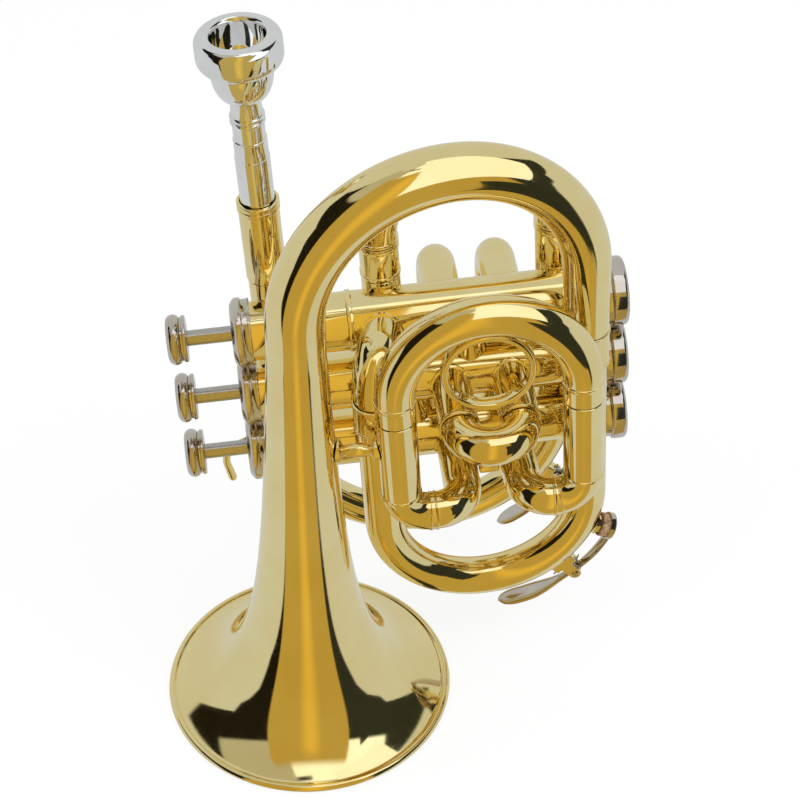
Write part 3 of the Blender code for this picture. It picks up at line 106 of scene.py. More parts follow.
# noise in object coordinates, which are metres, so a scale of 1000 is a grain of 1 mm
def noiseOver(material, scale, detail, roughness=0.5, stretch=(1.0, 1.0, 1.0)):
    tree = material.node_tree
    spot = tree.nodes.new("ShaderNodeTexCoord")
    mapping = tree.nodes.new("ShaderNodeMapping")
    mapping.inputs["Scale"].default_value = stretch
    noise = tree.nodes.new("ShaderNodeTexNoise")
    noise.inputs["Scale"].default_value = scale
    noise.inputs["Detail"].default_value = detail
    noise.inputs["Roughness"].default_value = roughness
    tree.links.new(spot.outputs["Object"], mapping.inputs["Vector"])
    tree.links.new(mapping.outputs["Vector"], noise.inputs["Vector"])
    return noise.outputs["Fac"]


def remap(material, value, low, high, fromLow=0.35, fromHigh=0.65):
    tree = material.node_tree
    node = tree.nodes.new("ShaderNodeMapRange")
    node.inputs["From Min"].default_value = fromLow
    node.inputs["From Max"].default_value = fromHigh
    node.inputs["To Min"].default_value = low
    node.inputs["To Max"].default_value = high
    tree.links.new(value, node.inputs["Value"])
    return node.outputs["Result"]


# base colour between two tones, by a value from 0 to 1
def tint(material, value, first, second):
    tree = material.node_tree
    ramp = tree.nodes.new("ShaderNodeMix")
    ramp.data_type = "RGBA"
    ramp.inputs["A"].default_value = (*first, 1.0)
    ramp.inputs["B"].default_value = (*second, 1.0)
    tree.links.new(value, ramp.inputs["Factor"])
    tree.links.new(ramp.outputs["Result"], tree.nodes["Principled BSDF"].inputs["Base Color"])


def roughen(material, value):
    shader = material.node_tree.nodes["Principled BSDF"]
    material.node_tree.links.new(value, shader.inputs["Roughness"])


# bump of a height in mm
def relief(material, value, distance, strength):
    tree = material.node_tree
    bump = tree.nodes.new("ShaderNodeBump")
    bump.inputs["Distance"].default_value = distance * 0.001
    bump.inputs["Strength"].default_value = strength
    tree.links.new(value, bump.inputs["Height"])
    tree.links.new(bump.outputs["Normal"], tree.nodes["Principled BSDF"].inputs["Normal"])


brassTones = {
    "lacquer": (0.93, 0.79, 0.40),      # pale gold where the lacquer is thin
    "deeper": (0.91, 0.74, 0.34),       # where it has pooled
    "roughness": (0.045, 0.085),
    "waves": 55.0,                      # lacquer's slow waves, one per 18 mm
    "haze": 420.0,
    "grain": 1500.0,
}


def lacqueredBrass():
    tones = brassTones
    material = newMaterial("gold_lacquer", tones["lacquer"], tones["roughness"][0], coat=0.25)
    pooled = remap(material, noiseOver(material, tones["waves"], 2.0), 0.0, 1.0)
    tint(material, pooled, tones["lacquer"], tones["deeper"])
    haze = noiseOver(material, tones["haze"], 6.0, 0.65)
    roughen(material, remap(material, haze, *tones["roughness"]))
    relief(material, noiseOver(material, tones["grain"], 3.0), 0.004, 0.12)
    return material


nickelTones = {
    "plate": (0.66, 0.61, 0.55), "worn": (0.60, 0.54, 0.47), "roughness": (0.07, 0.13),
    "patches": 160.0, "haze": 700.0, "grain": 2200.0, "bump": (0.004, 0.3),
}
silverTones = {
    "plate": (0.90, 0.90, 0.89), "worn": (0.84, 0.84, 0.82), "roughness": (0.03, 0.06),
    "patches": 130.0, "haze": 800.0, "grain": 1800.0, "bump": (0.003, 0.25),
}


def polishedPlate(name, tones):
    material = newMaterial(name, tones["plate"], tones["roughness"][0])
    worn = remap(material, noiseOver(material, tones["patches"], 4.0), 0.0, 1.0)
    tint(material, worn, tones["plate"], tones["worn"])
    roughen(material, remap(material, noiseOver(material, tones["haze"], 5.0), *tones["roughness"]))
    relief(material, noiseOver(material, tones["grain"], 2.0), *tones["bump"])
    return material


steelTones = {"drawn": (0.50, 0.49, 0.47), "dark": (0.32, 0.31, 0.30), "roughness": (0.18, 0.34)}


def drawnSteel(name="drawn_steel", tones=steelTones):
    material = newMaterial(name, tones["drawn"], tones["roughness"][0])
    streaks = noiseOver(material, 900.0, 4.0, 0.6, (1.0, 6.0, 6.0))
    tint(material, remap(material, streaks, 0.0, 1.0), tones["drawn"], tones["dark"])
    roughen(material, remap(material, streaks, *tones["roughness"]))
    relief(material, streaks, 0.01, 0.4)
    return material


alloyTones = {"drawn": (0.56, 0.54, 0.50), "dark": (0.46, 0.44, 0.41), "roughness": (0.16, 0.26)}
corkTones = {"light": (0.47, 0.30, 0.17), "dark": (0.16, 0.085, 0.04)}


def naturalCork():
    tones = corkTones
    material = newMaterial("cork_natural", tones["light"], 0.85, metallic=0.0)
    cells = noiseOver(material, 900.0, 6.0, 0.7)
    tint(material, remap(material, cells, 0.0, 1.0, 0.42, 0.62), tones["light"], tones["dark"])
    roughen(material, remap(material, cells, 0.75, 0.95))
    relief(material, cells, 0.12, 0.8)
    return material


brass = lacqueredBrass()
nickel = polishedPlate("nickel_polish", nickelTones)
silver = polishedPlate("silver_polish", silverTones)
steel = drawnSteel()
alloy = drawnSteel("piston_ground", alloyTones)
cork = naturalCork()


# tools of the trade: lines, tubes, turned pieces, cuts

# stations (point, direction) along straight runs joined by round bends
def routeOf(corners, bends, step=None):
    corners = [Vector(corner) for corner in corners]
    stations = [(corners[0], (corners[1] - corners[0]).normalized())]
    for corner, before, after, bend in zip(corners[1:-1], corners, corners[2:], bends):
        toBefore = (before - corner).normalized()
        toAfter = (after - corner).normalized()
        turn = math.pi - toBefore.angle(toAfter)
        middle = corner + (toBefore + toAfter).normalized() * bend / math.cos(turn / 2)
        arm = corner + toBefore * bend * math.tan(turn / 2) - middle
        steps = max(4, round(math.degrees(turn) / (step or general["bendStep"])))
        axis = toAfter.cross(toBefore).normalized()
        for i in range(steps + 1):
            spin = Matrix.Rotation(turn * i / steps, 3, axis)
            stations.append((middle + spin @ arm, spin @ -toBefore))
    stations.append((corners[-1], (corners[-1] - corners[-2]).normalized()))
    kept = stations[:1]
    for station in stations[1:]:
        if (station[0] - kept[-1][0]).length > 0.02:
            kept.append(station)
    return kept


# stations of a smooth line through points
def throughPoints(points):
    points = [Vector(point) for point in points]
    steps = [(b - a).normalized() for a, b in zip(points, points[1:])]
    ways = [(a + b).normalized() for a, b in zip(steps[:1] + steps, steps + steps[-1:])]
    return list(zip(points, ways))


def distancesOf(line):
    run = [0.0]
    for before, after in zip(line, line[1:]):
        run.append(run[-1] + (after[0] - before[0]).length)
    return run


# the line's stations and extra ones at given distances, as (distance, station)
def withMarks(line, marks):
    run = distancesOf(line)
    result = list(zip(run, line))
    for mark in marks:
        for i in range(len(line) - 1):
            if run[i] + 1e-3 < mark < run[i + 1] - 1e-3:
                share = (mark - run[i]) / (run[i + 1] - run[i])
                spot = line[i][0].lerp(line[i + 1][0], share)
                way = line[i][1].lerp(line[i + 1][1], share).normalized()
                result.append((mark, (spot, way)))
    return sorted(result, key=lambda pair: pair[0])


# placements along a line, each turned as little as can be from the one before
def framesAlong(line):
    side = Vector((0.0, 1.0, 0.0))
    if abs(side.dot(line[0][1])) > 0.9:
        side = Vector((0.0, 0.0, 1.0))
    result = []
    for spot, way in line:
        side = (side - way * side.dot(way)).normalized()
        turn = Matrix((side, way.cross(side), way)).transposed().to_4x4()
        result.append(Matrix.Translation(spot) @ turn)
    return result


# circles (placement, radius), each extruded from the last; closed joins last to first
def skinOver(rings, sides, closed):
    bm = bmesh.new()
    place, radius = rings[0]
    made = bmesh.ops.create_circle(bm, segments=sides, radius=radius, matrix=place)
    first = list({edge for vert in made["verts"] for edge in vert.link_edges})
    edges = first
    for nextPlace, nextRadius in rings[1:]:
        made = bmesh.ops.extrude_edge_only(bm, edges=edges)["geom"]
        verts = [item for item in made if isinstance(item, bmesh.types.BMVert)]
        edges = [item for item in made if isinstance(item, bmesh.types.BMEdge)]
        move = nextPlace @ Matrix.Scale(nextRadius / radius, 4) @ place.inverted()
        bmesh.ops.transform(bm, matrix=move, verts=verts)
        place, radius = nextPlace, nextRadius
    if closed:
        bmesh.ops.bridge_loops(bm, edges=edges + first)
    else:
        bmesh.ops.edgeloop_fill(bm, edges=first)
        bmesh.ops.edgeloop_fill(bm, edges=edges)
    return bm


# radius at a distance, read off (distance, radius) pairs by straight lines
def radiusAt(outline, distance):
    for (a, ra), (b, rb) in zip(outline, outline[1:]):
        if distance <= b:
            return ra + (rb - ra) * (distance - a) / (b - a) if b > a else rb
    return outline[-1][1]


# a tube with rounded ends. A ring is (from, to, extra radius), counted from the start, and
# a lip at either end is (length, extra radius)
def tubeAlong(line, radius, rings=(), wall=None, sides=None, startLip=None, endLip=None):
    wall = wall or general["wall"]
    sides = sides or general["sides"]
    edge = general["edge"]
    total = distancesOf(line)[-1]
    outline = [(0.0, radius - edge), (edge, radius), (total - edge, radius), (total, radius - edge)]
    rings = list(rings)
    if startLip:
        rings.append((0.0, *startLip))
    if endLip:
        rings.append((total - endLip[0], total, endLip[1]))
    extras = []
    for a, b, extra in rings:
        slope = max(0.05, extra * 0.35)
        extras.append([(a, 0.0), (a + slope, extra * 0.8), (a + slope * 2, extra),
                       (b - slope * 2, extra), (b - slope, extra * 0.8), (b, 0.0)])
    marks = [pair[0] for pairs in [outline] + extras for pair in pairs]
    marks += [pairs[-1][0] + 0.02 for pairs in extras] + [pairs[0][0] - 0.02 for pairs in extras]
    placed = withMarks(line, marks)
    radii = []
    for distance, station in placed:
        extra = sum(radiusAt(pairs, distance) for pairs in extras
                    if pairs[0][0] <= distance <= pairs[-1][0])
        radii.append(radiusAt(outline, distance) + extra)
    outside = list(zip(framesAlong([station for distance, station in placed]), radii))
    inside = [(place, radius - wall) for place in reversed(framesAlong(line))]
    return skinOver(outside + inside, sides, closed=True)


# a straight tube that stands where a node stands, at the x and y of a spot
def uprightTube(node, spot, radius, **details):
    low, high = hornBox(node)
    line = routeOf([(spot.x, spot.y, low.z), (spot.x, spot.y, high.z)], [])
    return tubeAlong(line, radius, **details)


# a U whose ends are two spots and whose turn lies at a height
def hairpin(start, end, height, bend=None, step=None):
    start, end = Vector(start), Vector(end)
    bend = bend or math.hypot(end.x - start.x, end.y - start.y) / 2
    corners = [start, (start.x, start.y, height), (end.x, end.y, height), end]
    return routeOf(corners, [bend] * 2, step)


def rodAlong(line, radius, sides=None):
    radii = radius if isinstance(radius, list) else [radius] * len(line)
    return skinOver(list(zip(framesAlong(line), radii)), sides or general["sides"], closed=False)


def rodBetween(start, end, radius, sides=None):
    way = (end - start).normalized()
    return rodAlong([(start, way), (end, way)], radius, sides)


# outline points round an arc; 0 degrees is along the axis, 90 away from it
def arcOf(distance, height, radius, start, end, steps=6):
    angles = [math.radians(start + (end - start) * i / steps) for i in range(steps + 1)]
    return [(distance + radius * math.cos(a), height + radius * math.sin(a)) for a in angles]


# outline of a disc between two distances, its edges taken off
def discOutline(low, high, radius, edge=0.2):
    return [(low, 0.0), (low, radius - edge), (low + edge, radius), (high - edge, radius),
            (high, radius - edge), (high, 0.0)]


# a closed outline of (distance, radius) spun round an axis from a spot
def turnedOn(spot, way, outline, sides=None):
    bm = bmesh.new()
    verts = [bm.verts.new((radius, 0.0, distance)) for distance, radius in outline]
    edges = []
    for i, (distance, radius) in enumerate(outline):
        if radius + outline[i - 1][1] > 0:
            edges.append(bm.edges.new((verts[i - 1], verts[i])))
    bmesh.ops.spin(bm, geom=verts + edges, cent=(0, 0, 0), axis=(0, 0, 1), dvec=(0, 0, 0),
                   angle=2 * math.pi, steps=sides or general["sides"], use_merge=True)
    bmesh.ops.remove_doubles(bm, verts=bm.verts, dist=1e-4)
    turn = Vector((0, 0, 1)).rotation_difference(Vector(way)).to_matrix().to_4x4()
    bmesh.ops.transform(bm, matrix=Matrix.Translation(Vector(spot)) @ turn, verts=bm.verts)
    return bm


def asObject(name, bm):
    bmesh.ops.recalc_face_normals(bm, faces=bm.faces)
    mesh = bpy.data.meshes.new(name)
    bm.to_mesh(mesh)
    bm.free()
    made = bpy.data.objects.new(name, mesh)
    bpy.context.collection.objects.link(made)
    return made


# the shape after exact booleans with other shapes, as a new bmesh in the same mm
def combined(bm, tools, operation="DIFFERENCE"):
    part = asObject("part", bm)
    for tool in tools:
        other = asObject("tool", tool)
        change = part.modifiers.new("cut", "BOOLEAN")
        change.operation = operation
        change.solver = "EXACT"
        change.object = other
        bpy.context.view_layer.update()
        graph = bpy.context.evaluated_depsgraph_get()
        mesh = bpy.data.meshes.new_from_object(part.evaluated_get(graph))
        part.modifiers.remove(change)
        part.data = mesh
        bpy.data.objects.remove(other, do_unlink=True)
    result = bmesh.new()
    result.from_mesh(part.data)
    bpy.data.objects.remove(part, do_unlink=True)
    bmesh.ops.dissolve_degenerate(result, dist=1e-4, edges=result.edges)
    return result


# several bodies in one mesh; each stays a closed body of its own
def joined(bm, *others):
    for other in others:
        mesh = bpy.data.meshes.new("joined")
        other.to_mesh(mesh)
        other.free()
        bm.from_mesh(mesh)
        bpy.data.meshes.remove(mesh)
    return bm


# bring a shape in mm to its place in metres, give it its finish, and let it ride
def addPiece(name, bm, material, body, nodes, place=hornPlace, sharp=None):
    bmesh.ops.transform(bm, matrix=place, verts=bm.verts)
    made = asObject(name, bm)
    made.data.shade_smooth()
    made.data.set_sharp_from_angle(angle=math.radians(sharp or general["sharp"]))
    made.data.materials.append(material)
    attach(made, body)
    if nodes:
        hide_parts(*nodes)
    return made


# bell

bell = {
    "mouthRadius": 48.5, "throatRadius": 12.8, "flareLength": 23.4, "flarePower": 1.6,
    "taper": 0.0333, "bead": 2.6, "wall": 0.6, "stemTop": 150.0, "steps": 64, "crowding": 2.2,
    "bowTop": 207.6, "bowBend": 47.0, "bowSwell": 0.4, "endRadius": 7.0, "endHeight": 136.0,
    "beadTop": 0.75, "clearOfBead": 1.1, "sides": 128,
}


def bellRadius(height):
    flare = bell["mouthRadius"] - bell["bead"] / 4 - bell["throatRadius"]
    curve = (1 + height / bell["flareLength"]) ** -bell["flarePower"]
    return bell["throatRadius"] + flare * curve - bell["taper"] * height


# stations of the bow from the top of the stem to the ferrule, in the bell's frame
def bellBow():
    ferrule = nodeMiddle("bell_ferrule")
    turn = hornAxes.to_3x3()
    right = turn @ Vector((ferrule.x, ferrule.y, bell["endHeight"]))
    up = turn @ Vector((0.0, 0.0, 1.0))
    topRight = right + up * (bell["bowTop"] - right.z) / up.z
    topLeft = Vector((0.0, 0.0, bell["bowTop"]))
    across = (topRight - topLeft).normalized()
    turnRight = math.pi - (-across).angle(-up)
    rest = (topRight - topLeft).length - bell["bowBend"]
    bends = [bell["bowBend"], rest / math.tan(turnRight / 2)]
    return routeOf([Vector((0.0, 0.0, bell["stemTop"])), topLeft, topRight, right], bends, 2.0)


def makeBell():
    bow = bellBow()
    placed = framesAlong(bow)
    run = distancesOf(bow)
    stemRadius = bellRadius(bell["stemTop"])
    bowRadii = []
    for distance in run:
        share = distance / run[-1]
        swell = bell["bowSwell"] * math.sin(math.pi * share)
        bowRadii.append(stemRadius + (bell["endRadius"] - stemRadius) * share + swell)
    side = placed[0].to_3x3().to_4x4()

    def ring(height, radius):
        return Matrix.Translation((0.0, 0.0, height)) @ side, radius

    half = bell["bead"] / 2
    beadMiddle = bell["mouthRadius"] - half
    bead = arcOf(half, beadMiddle, half, 260, 90, 16)
    bead += arcOf(half, beadMiddle, half, 90, -54, 12)[1:]
    rim = [ring(distance, radius) for distance, radius in bead]
    heights = [bell["stemTop"] * (i / bell["steps"]) ** bell["crowding"]
               for i in range(bell["steps"])]
    heights = [bell["beadTop"]] + [height for height in heights if height > bell["clearOfBead"]]
    outside, inside = [], []
    for height in heights:
        slope = (bellRadius(height + 0.1) - bellRadius(height)) / 0.1
        normal = Vector((1.0, -slope)).normalized()
        radius = bellRadius(height)
        outside.append(ring(height + half, radius))
        inward = normal * bell["wall"]
        inside.append(ring(height + half - inward.y, radius - inward.x))
    bowInside = [(place, radius - bell["wall"]) for place, radius in zip(placed, bowRadii)]
    rings = rim + outside + list(zip(placed, bowRadii)) + bowInside[::-1] + inside[::-1]
    sheet = skinOver(rings, bell["sides"], closed=True)
    addPiece("bell_sheet", sheet, brass, "horn", ["bell"], bellPlace, sharp=50.0)


makeBell()
print("bell done")


# tail of the bell: ferrule, loop, second ferrule, elbow to the first valve

tail = {
    "radius": 6.4, "elbowBend": 12.0, "portX": 38.0, "ferruleWall": 0.7, "flange": 0.7,
    "flangeHeight": 0.5, "lip": (1.0, 0.22),
}
valves = {
    "casingRadius": 9.5, "bore": 8.7, "seamX": 26.4, "seam": 0.45, "seamLength": 2.0,
    "capRadius": 11.2, "stemRadius": 2.5, "portX": (57.0, 76.6), "linkX": (64.0, 45.0),
    "portRadius": 5.2, "passage": 4.6, "barrel": 60.0, "barrelWall": 0.7, "barrelTop": 3.5,
}
valveSpots = [nodeMiddle(f"valve_casing_{number}") for number in (1, 2, 3)]


# the casing's outside as a solid, to saddle what is soldered on it
def casingSpace(valve, extra=0.0, sides=96):
    low, high = hornBox(f"valve_casing_{valve + 1}")
    spot = Vector((low.x - 1.0, valveSpots[valve].y, valveSpots[valve].z))
    radius = valves["casingRadius"] + extra
    length = high.x - low.x + 2.0
    return turnedOn(spot, (1, 0, 0), [(0, 0), (0, radius), (length, radius), (length, 0)], sides)


# a thin flange that follows the casing round a tube's end
def saddleFlange(valve, start, end, radius):
    start, end = Vector(start), Vector(end)
    way = (end - start).normalized()
    disc = rodBetween(start, end, radius + tail["flange"])
    disc = combined(disc, [casingSpace(valve, tail["flangeHeight"])], "INTERSECT")
    hole = rodBetween(start - way, end + way, radius - 0.2)
    return combined(disc, [casingSpace(valve, 0.02), hole])


def makeTail():
    radius = tail["radius"]
    right, left = nodeMiddle("bell_ferrule"), nodeMiddle("tail_ferrule")
    bottom = hornBox("bell_tail")[0].z + radius
    line = hairpin(right, left, bottom, step=2.0)
    addPiece("tail_loop", tubeAlong(line, radius, sides=general["bowSides"]), brass, "horn",
             ["bell_tail"])
    for node, name in (("bell_ferrule", "ferrule_upper"), ("tail_ferrule", "ferrule_lower")):
        wall, lip = tail["ferruleWall"], tail["lip"]
        outer = radius + general["fit"] + wall - lip[1]
        ferrule = uprightTube(node, nodeMiddle(node), outer, wall=wall - lip[1], startLip=lip,
                              endLip=lip)
        addPiece(name, ferrule, brass, "horn", [node])
    spot = valveSpots[0]
    line = routeOf([(left.x, left.y, left.z + general["fit"]), (left.x, left.y, spot.z),
                    (tail["portX"], spot.y, spot.z)], [tail["elbowBend"]])
    elbow = combined(tubeAlong(line, radius), [casingSpace(0)])
    last = line[-2][0]
    flange = saddleFlange(0, last, line[-1][0], radius)
    addPiece("tail_turn", joined(elbow, flange), brass, "horn", ["tail_elbow"])


makeTail()
print("tail done")


# valves

cap = {
    "chamfer": 1.4, "rim": 3.6, "skirtOut": 0.8, "edge": 0.35, "stemRing": 2.2, "recess": 0.6,
    "face": 2.2, "lip": 0.22, "lowerRim": 5.0, "lowerSkirt": 0.5, "lowerLip": 0.84, "vent": 1.8,
    "dish": 0.8, "floor": 2.0, "sides": 96,
}


# a nickel or brass piece turned on a valve's axis from one node's low end
def turnedOnValve(name, node, spot, outline, material, body, sharp=None, sides=None):
    low = hornBox(node)[0]
    made = turnedOn((low.x, spot.y, spot.z), (1, 0, 0), outline, sides)
    addPiece(name, made, material, body, [node], sharp=sharp)


def topCap(number, spot):
    node = f"top_cap_{number}"
    low, high = hornBox(node)
    length = high.x - low.x
    radius = valves["capRadius"]
    hole = valves["stemRadius"] + 0.5
    ring = hole + cap["stemRing"]
    skirt = valves["casingRadius"] + general["fit"]
    outer = skirt + cap["skirtOut"]
    lip = outer + cap["lip"]
    floor = hornBox(f"valve_casing_{number}")[0].x - general["fit"] - low.x
    chamfer, rim, edge = cap["chamfer"], cap["rim"], cap["edge"]
    outline = [(cap["recess"], hole), (cap["recess"], ring), (0.15, ring + 0.3), (0.0, ring + 0.6)]
    outline += [(0.0, radius - cap["face"]), (0.12, radius - 1.8), (chamfer - 0.15, radius - 0.3)]
    outline += [(chamfer + 0.2, radius - 0.04), (chamfer + 0.5, radius)]
    outline += arcOf(rim - edge, radius - edge, edge, 90, 0, 4)
    outline += [(rim + 0.05, outer + 0.1), (rim + 0.3, outer)]
    outline += [(length - 0.9, outer), (length - 0.8, lip), (length - 0.25, lip)]
    outline += [(length, outer), (length, skirt), (floor, skirt), (floor, hole)]
    turnedOnValve(f"cap_upper_{number}", node, spot, outline, nickel, "horn", 24.0, cap["sides"])


def bottomCap(number, spot):
    node = f"bottom_cap_{number}"
    low, high = hornBox(node)
    length = high.x - low.x
    radius = valves["capRadius"]
    skirt = valves["casingRadius"] + general["fit"]
    side, lip = skirt + cap["lowerSkirt"], skirt + cap["lowerLip"]
    casingEnd = hornBox(f"valve_casing_{number}")[1].x + general["fit"] - low.x
    vent, dish, rim = cap["vent"], length - cap["dish"], length - cap["lowerRim"]
    floor = length - cap["floor"]
    outline = [(0.0, skirt), (0.0, skirt + 0.6), (0.2, lip), (1.0, lip), (1.2, side)]
    outline.append((rim - 0.5, side))
    outline += arcOf(rim + 0.6, radius - 0.8, 0.8, 180, 90, 6)
    outline += arcOf(length - 1.6, radius - 1.6, 1.6, 90, 8, 10)
    outline += [(length - 0.02, radius - 2.6), (length - 0.1, 7.2), (length - 0.45, 6.8)]
    outline += [(dish, 6.1), (dish, vent + 0.5), (dish - 0.2, vent), (floor, vent)]
    outline += [(floor, valves["bore"]), (casingEnd, valves["bore"]), (casingEnd, skirt)]
    turnedOnValve(f"cap_lower_{number}", node, spot, outline, nickel, "horn", 28.0, cap["sides"])


def casingTube(number, spot):
    low, high = hornBox(f"valve_casing_{number}")
    length = high.x - low.x
    radius = valves["casingRadius"]
    seam = valves["seamX"] - low.x - valves["seamLength"] / 2
    end = seam + valves["seamLength"]
    rise = valves["seam"]
    outline = [(0.0, valves["bore"]), (0.0, radius - 0.1), (0.1, radius)]
    outline += [(seam, radius), (seam + 0.15, radius + rise * 0.8), (seam + 0.45, radius + rise)]
    outline += [(end - 0.45, radius + rise), (end - 0.15, radius + rise * 0.8), (end, radius)]
    outline += [(length - 0.1, radius), (length, radius - 0.1), (length, valves["bore"])]
    made = turnedOn((low.x, spot.y, spot.z), (1, 0, 0), outline, 96)
    reach = Vector((0.0, radius * 1.5, 0.0))
    upward = Vector((0.0, 0.0, radius * 1.5))
    near, far = valves["portX"]
    first, second = valves["linkX"]
    ports = {
        1: [(tail["portX"], -reach), (first, -upward), (near, reach), (far, reach)],
        2: [(first, upward), (second, -upward), (near, -reach), (far, -reach)],
        3: [(second, upward), (nodeMiddle("tuning_outer_tube_left").x, reach),
            (near, -reach), (far, -reach)],
    }[number]
    tools = []
    for x, way in ports:
        start = Vector((x, spot.y, spot.z))
        tools.append(rodBetween(start, start + way, valves["portRadius"], 48))
    addPiece(f"casing_tube_{number}", combined(made, tools), brass, "horn",
             [f"valve_casing_{number}"])


button = {"radius": 8.1, "round": 2.4, "dish": 0.7, "groove": 0.5, "grooveDepth": 1.1,
          "bandStep": 0.6, "band": 1.4, "collarRadius": 3.4, "socket": 3.0}


def fingerButton(number, spot):
    node = f"finger_button_{number}"
    low, high = hornBox(node)
    length = high.x - low.x
    radius, curve, dish = button["radius"], button["round"], button["dish"]
    groove, collar = radius - button["grooveDepth"], button["collarRadius"]
    band = radius - button["bandStep"]
    hole = valves["stemRadius"] + general["fit"]
    start = length - button["band"] - button["groove"]
    end = start + button["groove"]
    outline = [(dish, 0.0), (dish * 0.93, radius * 0.25), (dish * 0.6, radius * 0.5)]
    outline += arcOf(curve, radius - curve, curve, 168, 14, 20)
    outline += [(start, groove), (end, groove)]
    outline += arcOf(end + 0.25, band - 0.25, 0.25, 180, 90, 3)
    outline += arcOf(length - 0.45, band - 0.35, 0.35, 90, 0, 4)
    outline += [(length - 0.1, collar + 0.5), (length, collar), (length, hole)]
    outline += [(length - button["socket"], hole), (length - button["socket"], 0.0)]
    turnedOnValve(f"button_{number}", node, spot, outline, nickel, f"valve_{number}", 40.0, 80)


def pistonBody(number, spot):
    low, high = hornBox(f"piston_{number}")
    barrel = valves["bore"] - general["fit"]
    end = high.x - low.x
    start = end - valves["barrel"]
    top = start + valves["barrelTop"]
    stem = valves["stemRadius"]
    hollow = barrel - valves["barrelWall"]
    outline = [(0.0, 0.0), (0.0, stem - 0.2), (0.2, stem), (start - 1.0, stem)]
    outline += [(start, stem + 0.8), (start, barrel - 0.3), (start + 0.3, barrel)]
    outline += [(end - 0.2, barrel), (end, barrel - 0.2), (end, hollow), (top, hollow), (top, 0.0)]
    made = turnedOn((low.x, spot.y, spot.z), (1, 0, 0), outline)
    tools = []
    across = Vector((0.0, barrel * 1.5, 0.0))
    for x in (tail["portX"], *valves["portX"]):
        middle = Vector((x, spot.y, spot.z))
        tools.append(rodBetween(middle - across, middle + across, valves["passage"], 40))
    addPiece(f"valve_piston_{number}", combined(made, tools), alloy, f"valve_{number}",
             [f"piston_{number}"])


def makeValves():
    for number, spot in enumerate(valveSpots, 1):
        casingTube(number, spot)
        topCap(number, spot)
        bottomCap(number, spot)
        fingerButton(number, spot)
        pistonBody(number, spot)
        finishes = frame["nodes"][f"valve_spring_{number}"].data.materials
        finishes.clear()
        finishes.append(steel)


makeValves()
print("valves done")


# links between the casings

bore = {"tube": 6.1, "outer": 6.4, "leg": 5.6}


def makeLinks():
    for name, node, x, upper in (("link_upper", "link_tube_12", valves["linkX"][0], 0),
                                 ("link_lower", "link_tube_23", valves["linkX"][1], 1)):
        low, high = valveSpots[upper + 1], valveSpots[upper]
        line = routeOf([(x, low.y, low.z), (x, high.y, high.z)], [])
        link = combined(tubeAlong(line, bore["tube"]), [casingSpace(upper), casingSpace(upper + 1)])
        addPiece(name, link, brass, "horn", [node])


makeLinks()


# third slide: the large U with the finger ring, its outer tubes and knuckles

third = {
    "knuckleBend": 9.2, "ferrule": 7.6, "collar": 0.24, "collarLength": 1.5,
    "sleeveLip": (1.2, 0.2), "seam": 0.3, "seamGap": 2.0, "seamLength": 0.7, "seamBand": 0.12,
    "flangeReach": 14.0,
}
fingerRing = {"radius": 14.7, "wall": 2.1, "depth": 4.4, "outerRound": 0.9, "innerRound": 0.7}


# elbow and upright between a sleeve of the third slide and the third valve
def knuckle(side, x, y, port):
    node = f"third_knuckle_{side}"
    spot, bend = valveSpots[2], third["knuckleBend"]
    low = hornBox(node)[0].z + bore["tube"]
    start = hornBox(f"third_outer_tube_{side}")[0].z - general["fit"]
    line = routeOf([(x, y, start), (x, y, low), (port, y, low), (port, spot.y, low)], [bend] * 2)
    upright = start - low - bend + bend * math.pi / 2
    seam = upright + (abs(port - x) - 2 * bend) / 2
    halfGap, halfWide = third["seamGap"] / 2, third["seamLength"] / 2
    rings = [(seam + gap - halfWide, seam + gap + halfWide, third["seam"])
             for gap in (-halfGap, halfGap)]
    rings.append((seam - halfGap, seam + halfGap, third["seamBand"]))
    bent = combined(tubeAlong(line, bore["tube"], rings), [casingSpace(2)])
    flange = saddleFlange(2, (port, spot.y - third["flangeReach"], low), (port, spot.y, low),
                          bore["tube"])
    addPiece(f"knuckle_{side}", joined(bent, flange), brass, "horn", [node])


def ringForFinger():
    outer, inner = fingerRing["radius"], fingerRing["radius"] - fingerRing["wall"]
    half, big, small = fingerRing["depth"] / 2, fingerRing["outerRound"], fingerRing["innerRound"]
    outline = arcOf(half - big, outer - big, big, 0, 90, 6)
    outline += arcOf(-half + big, outer - big, big, 90, 180, 6)
    outline += arcOf(-half + small, inner + small, small, 180, 270, 5)
    outline += arcOf(half - small, inner + small, small, 270, 360, 5)
    made = turnedOn(nodeMiddle("finger_ring"), (0, 1, 0), outline, 128)
    addPiece("ring_for_finger", made, brass, "third_slide", ["finger_ring"], sharp=60.0)


def makeThird():
    low, high = hornBox("third_slide_bow")
    left, right = nodeMiddle("third_outer_tube_left"), nodeMiddle("third_outer_tube_right")
    y = left.y
    line = hairpin((left.x, y, low.z), (right.x, y, low.z), high.z - bore["outer"], step=2.0)
    total = distancesOf(line)[-1]
    length, wide, rise = third["ferrule"], third["collarLength"], third["collar"]
    rings = [(length - wide, length, rise), (total - length, total - length + wide, rise)]
    bow = tubeAlong(line, bore["outer"], rings, sides=general["bowSides"])
    addPiece("third_bow", bow, brass, "third_slide", ["third_slide_bow"])
    near, far = valves["portX"]
    for side, x, port in (("left", left.x, near), ("right", right.x, far)):
        knuckle(side, x, y, port)
        sleeve, leg = f"third_outer_tube_{side}", f"third_leg_{side}"
        spot = Vector((x, y, 0.0))
        addPiece(f"third_sleeve_{side}", uprightTube(sleeve, spot, bore["outer"],
                 startLip=third["sleeveLip"]), brass, "horn", [sleeve])
        addPiece(f"third_inner_{side}", uprightTube(leg, spot, bore["leg"]), nickel, "third_slide",
                 [leg])
    ringForFinger()


makeThird()
print("third slide done")


# second slide: the short U towards the viewer

second = {"lip": (2.0, 0.3)}


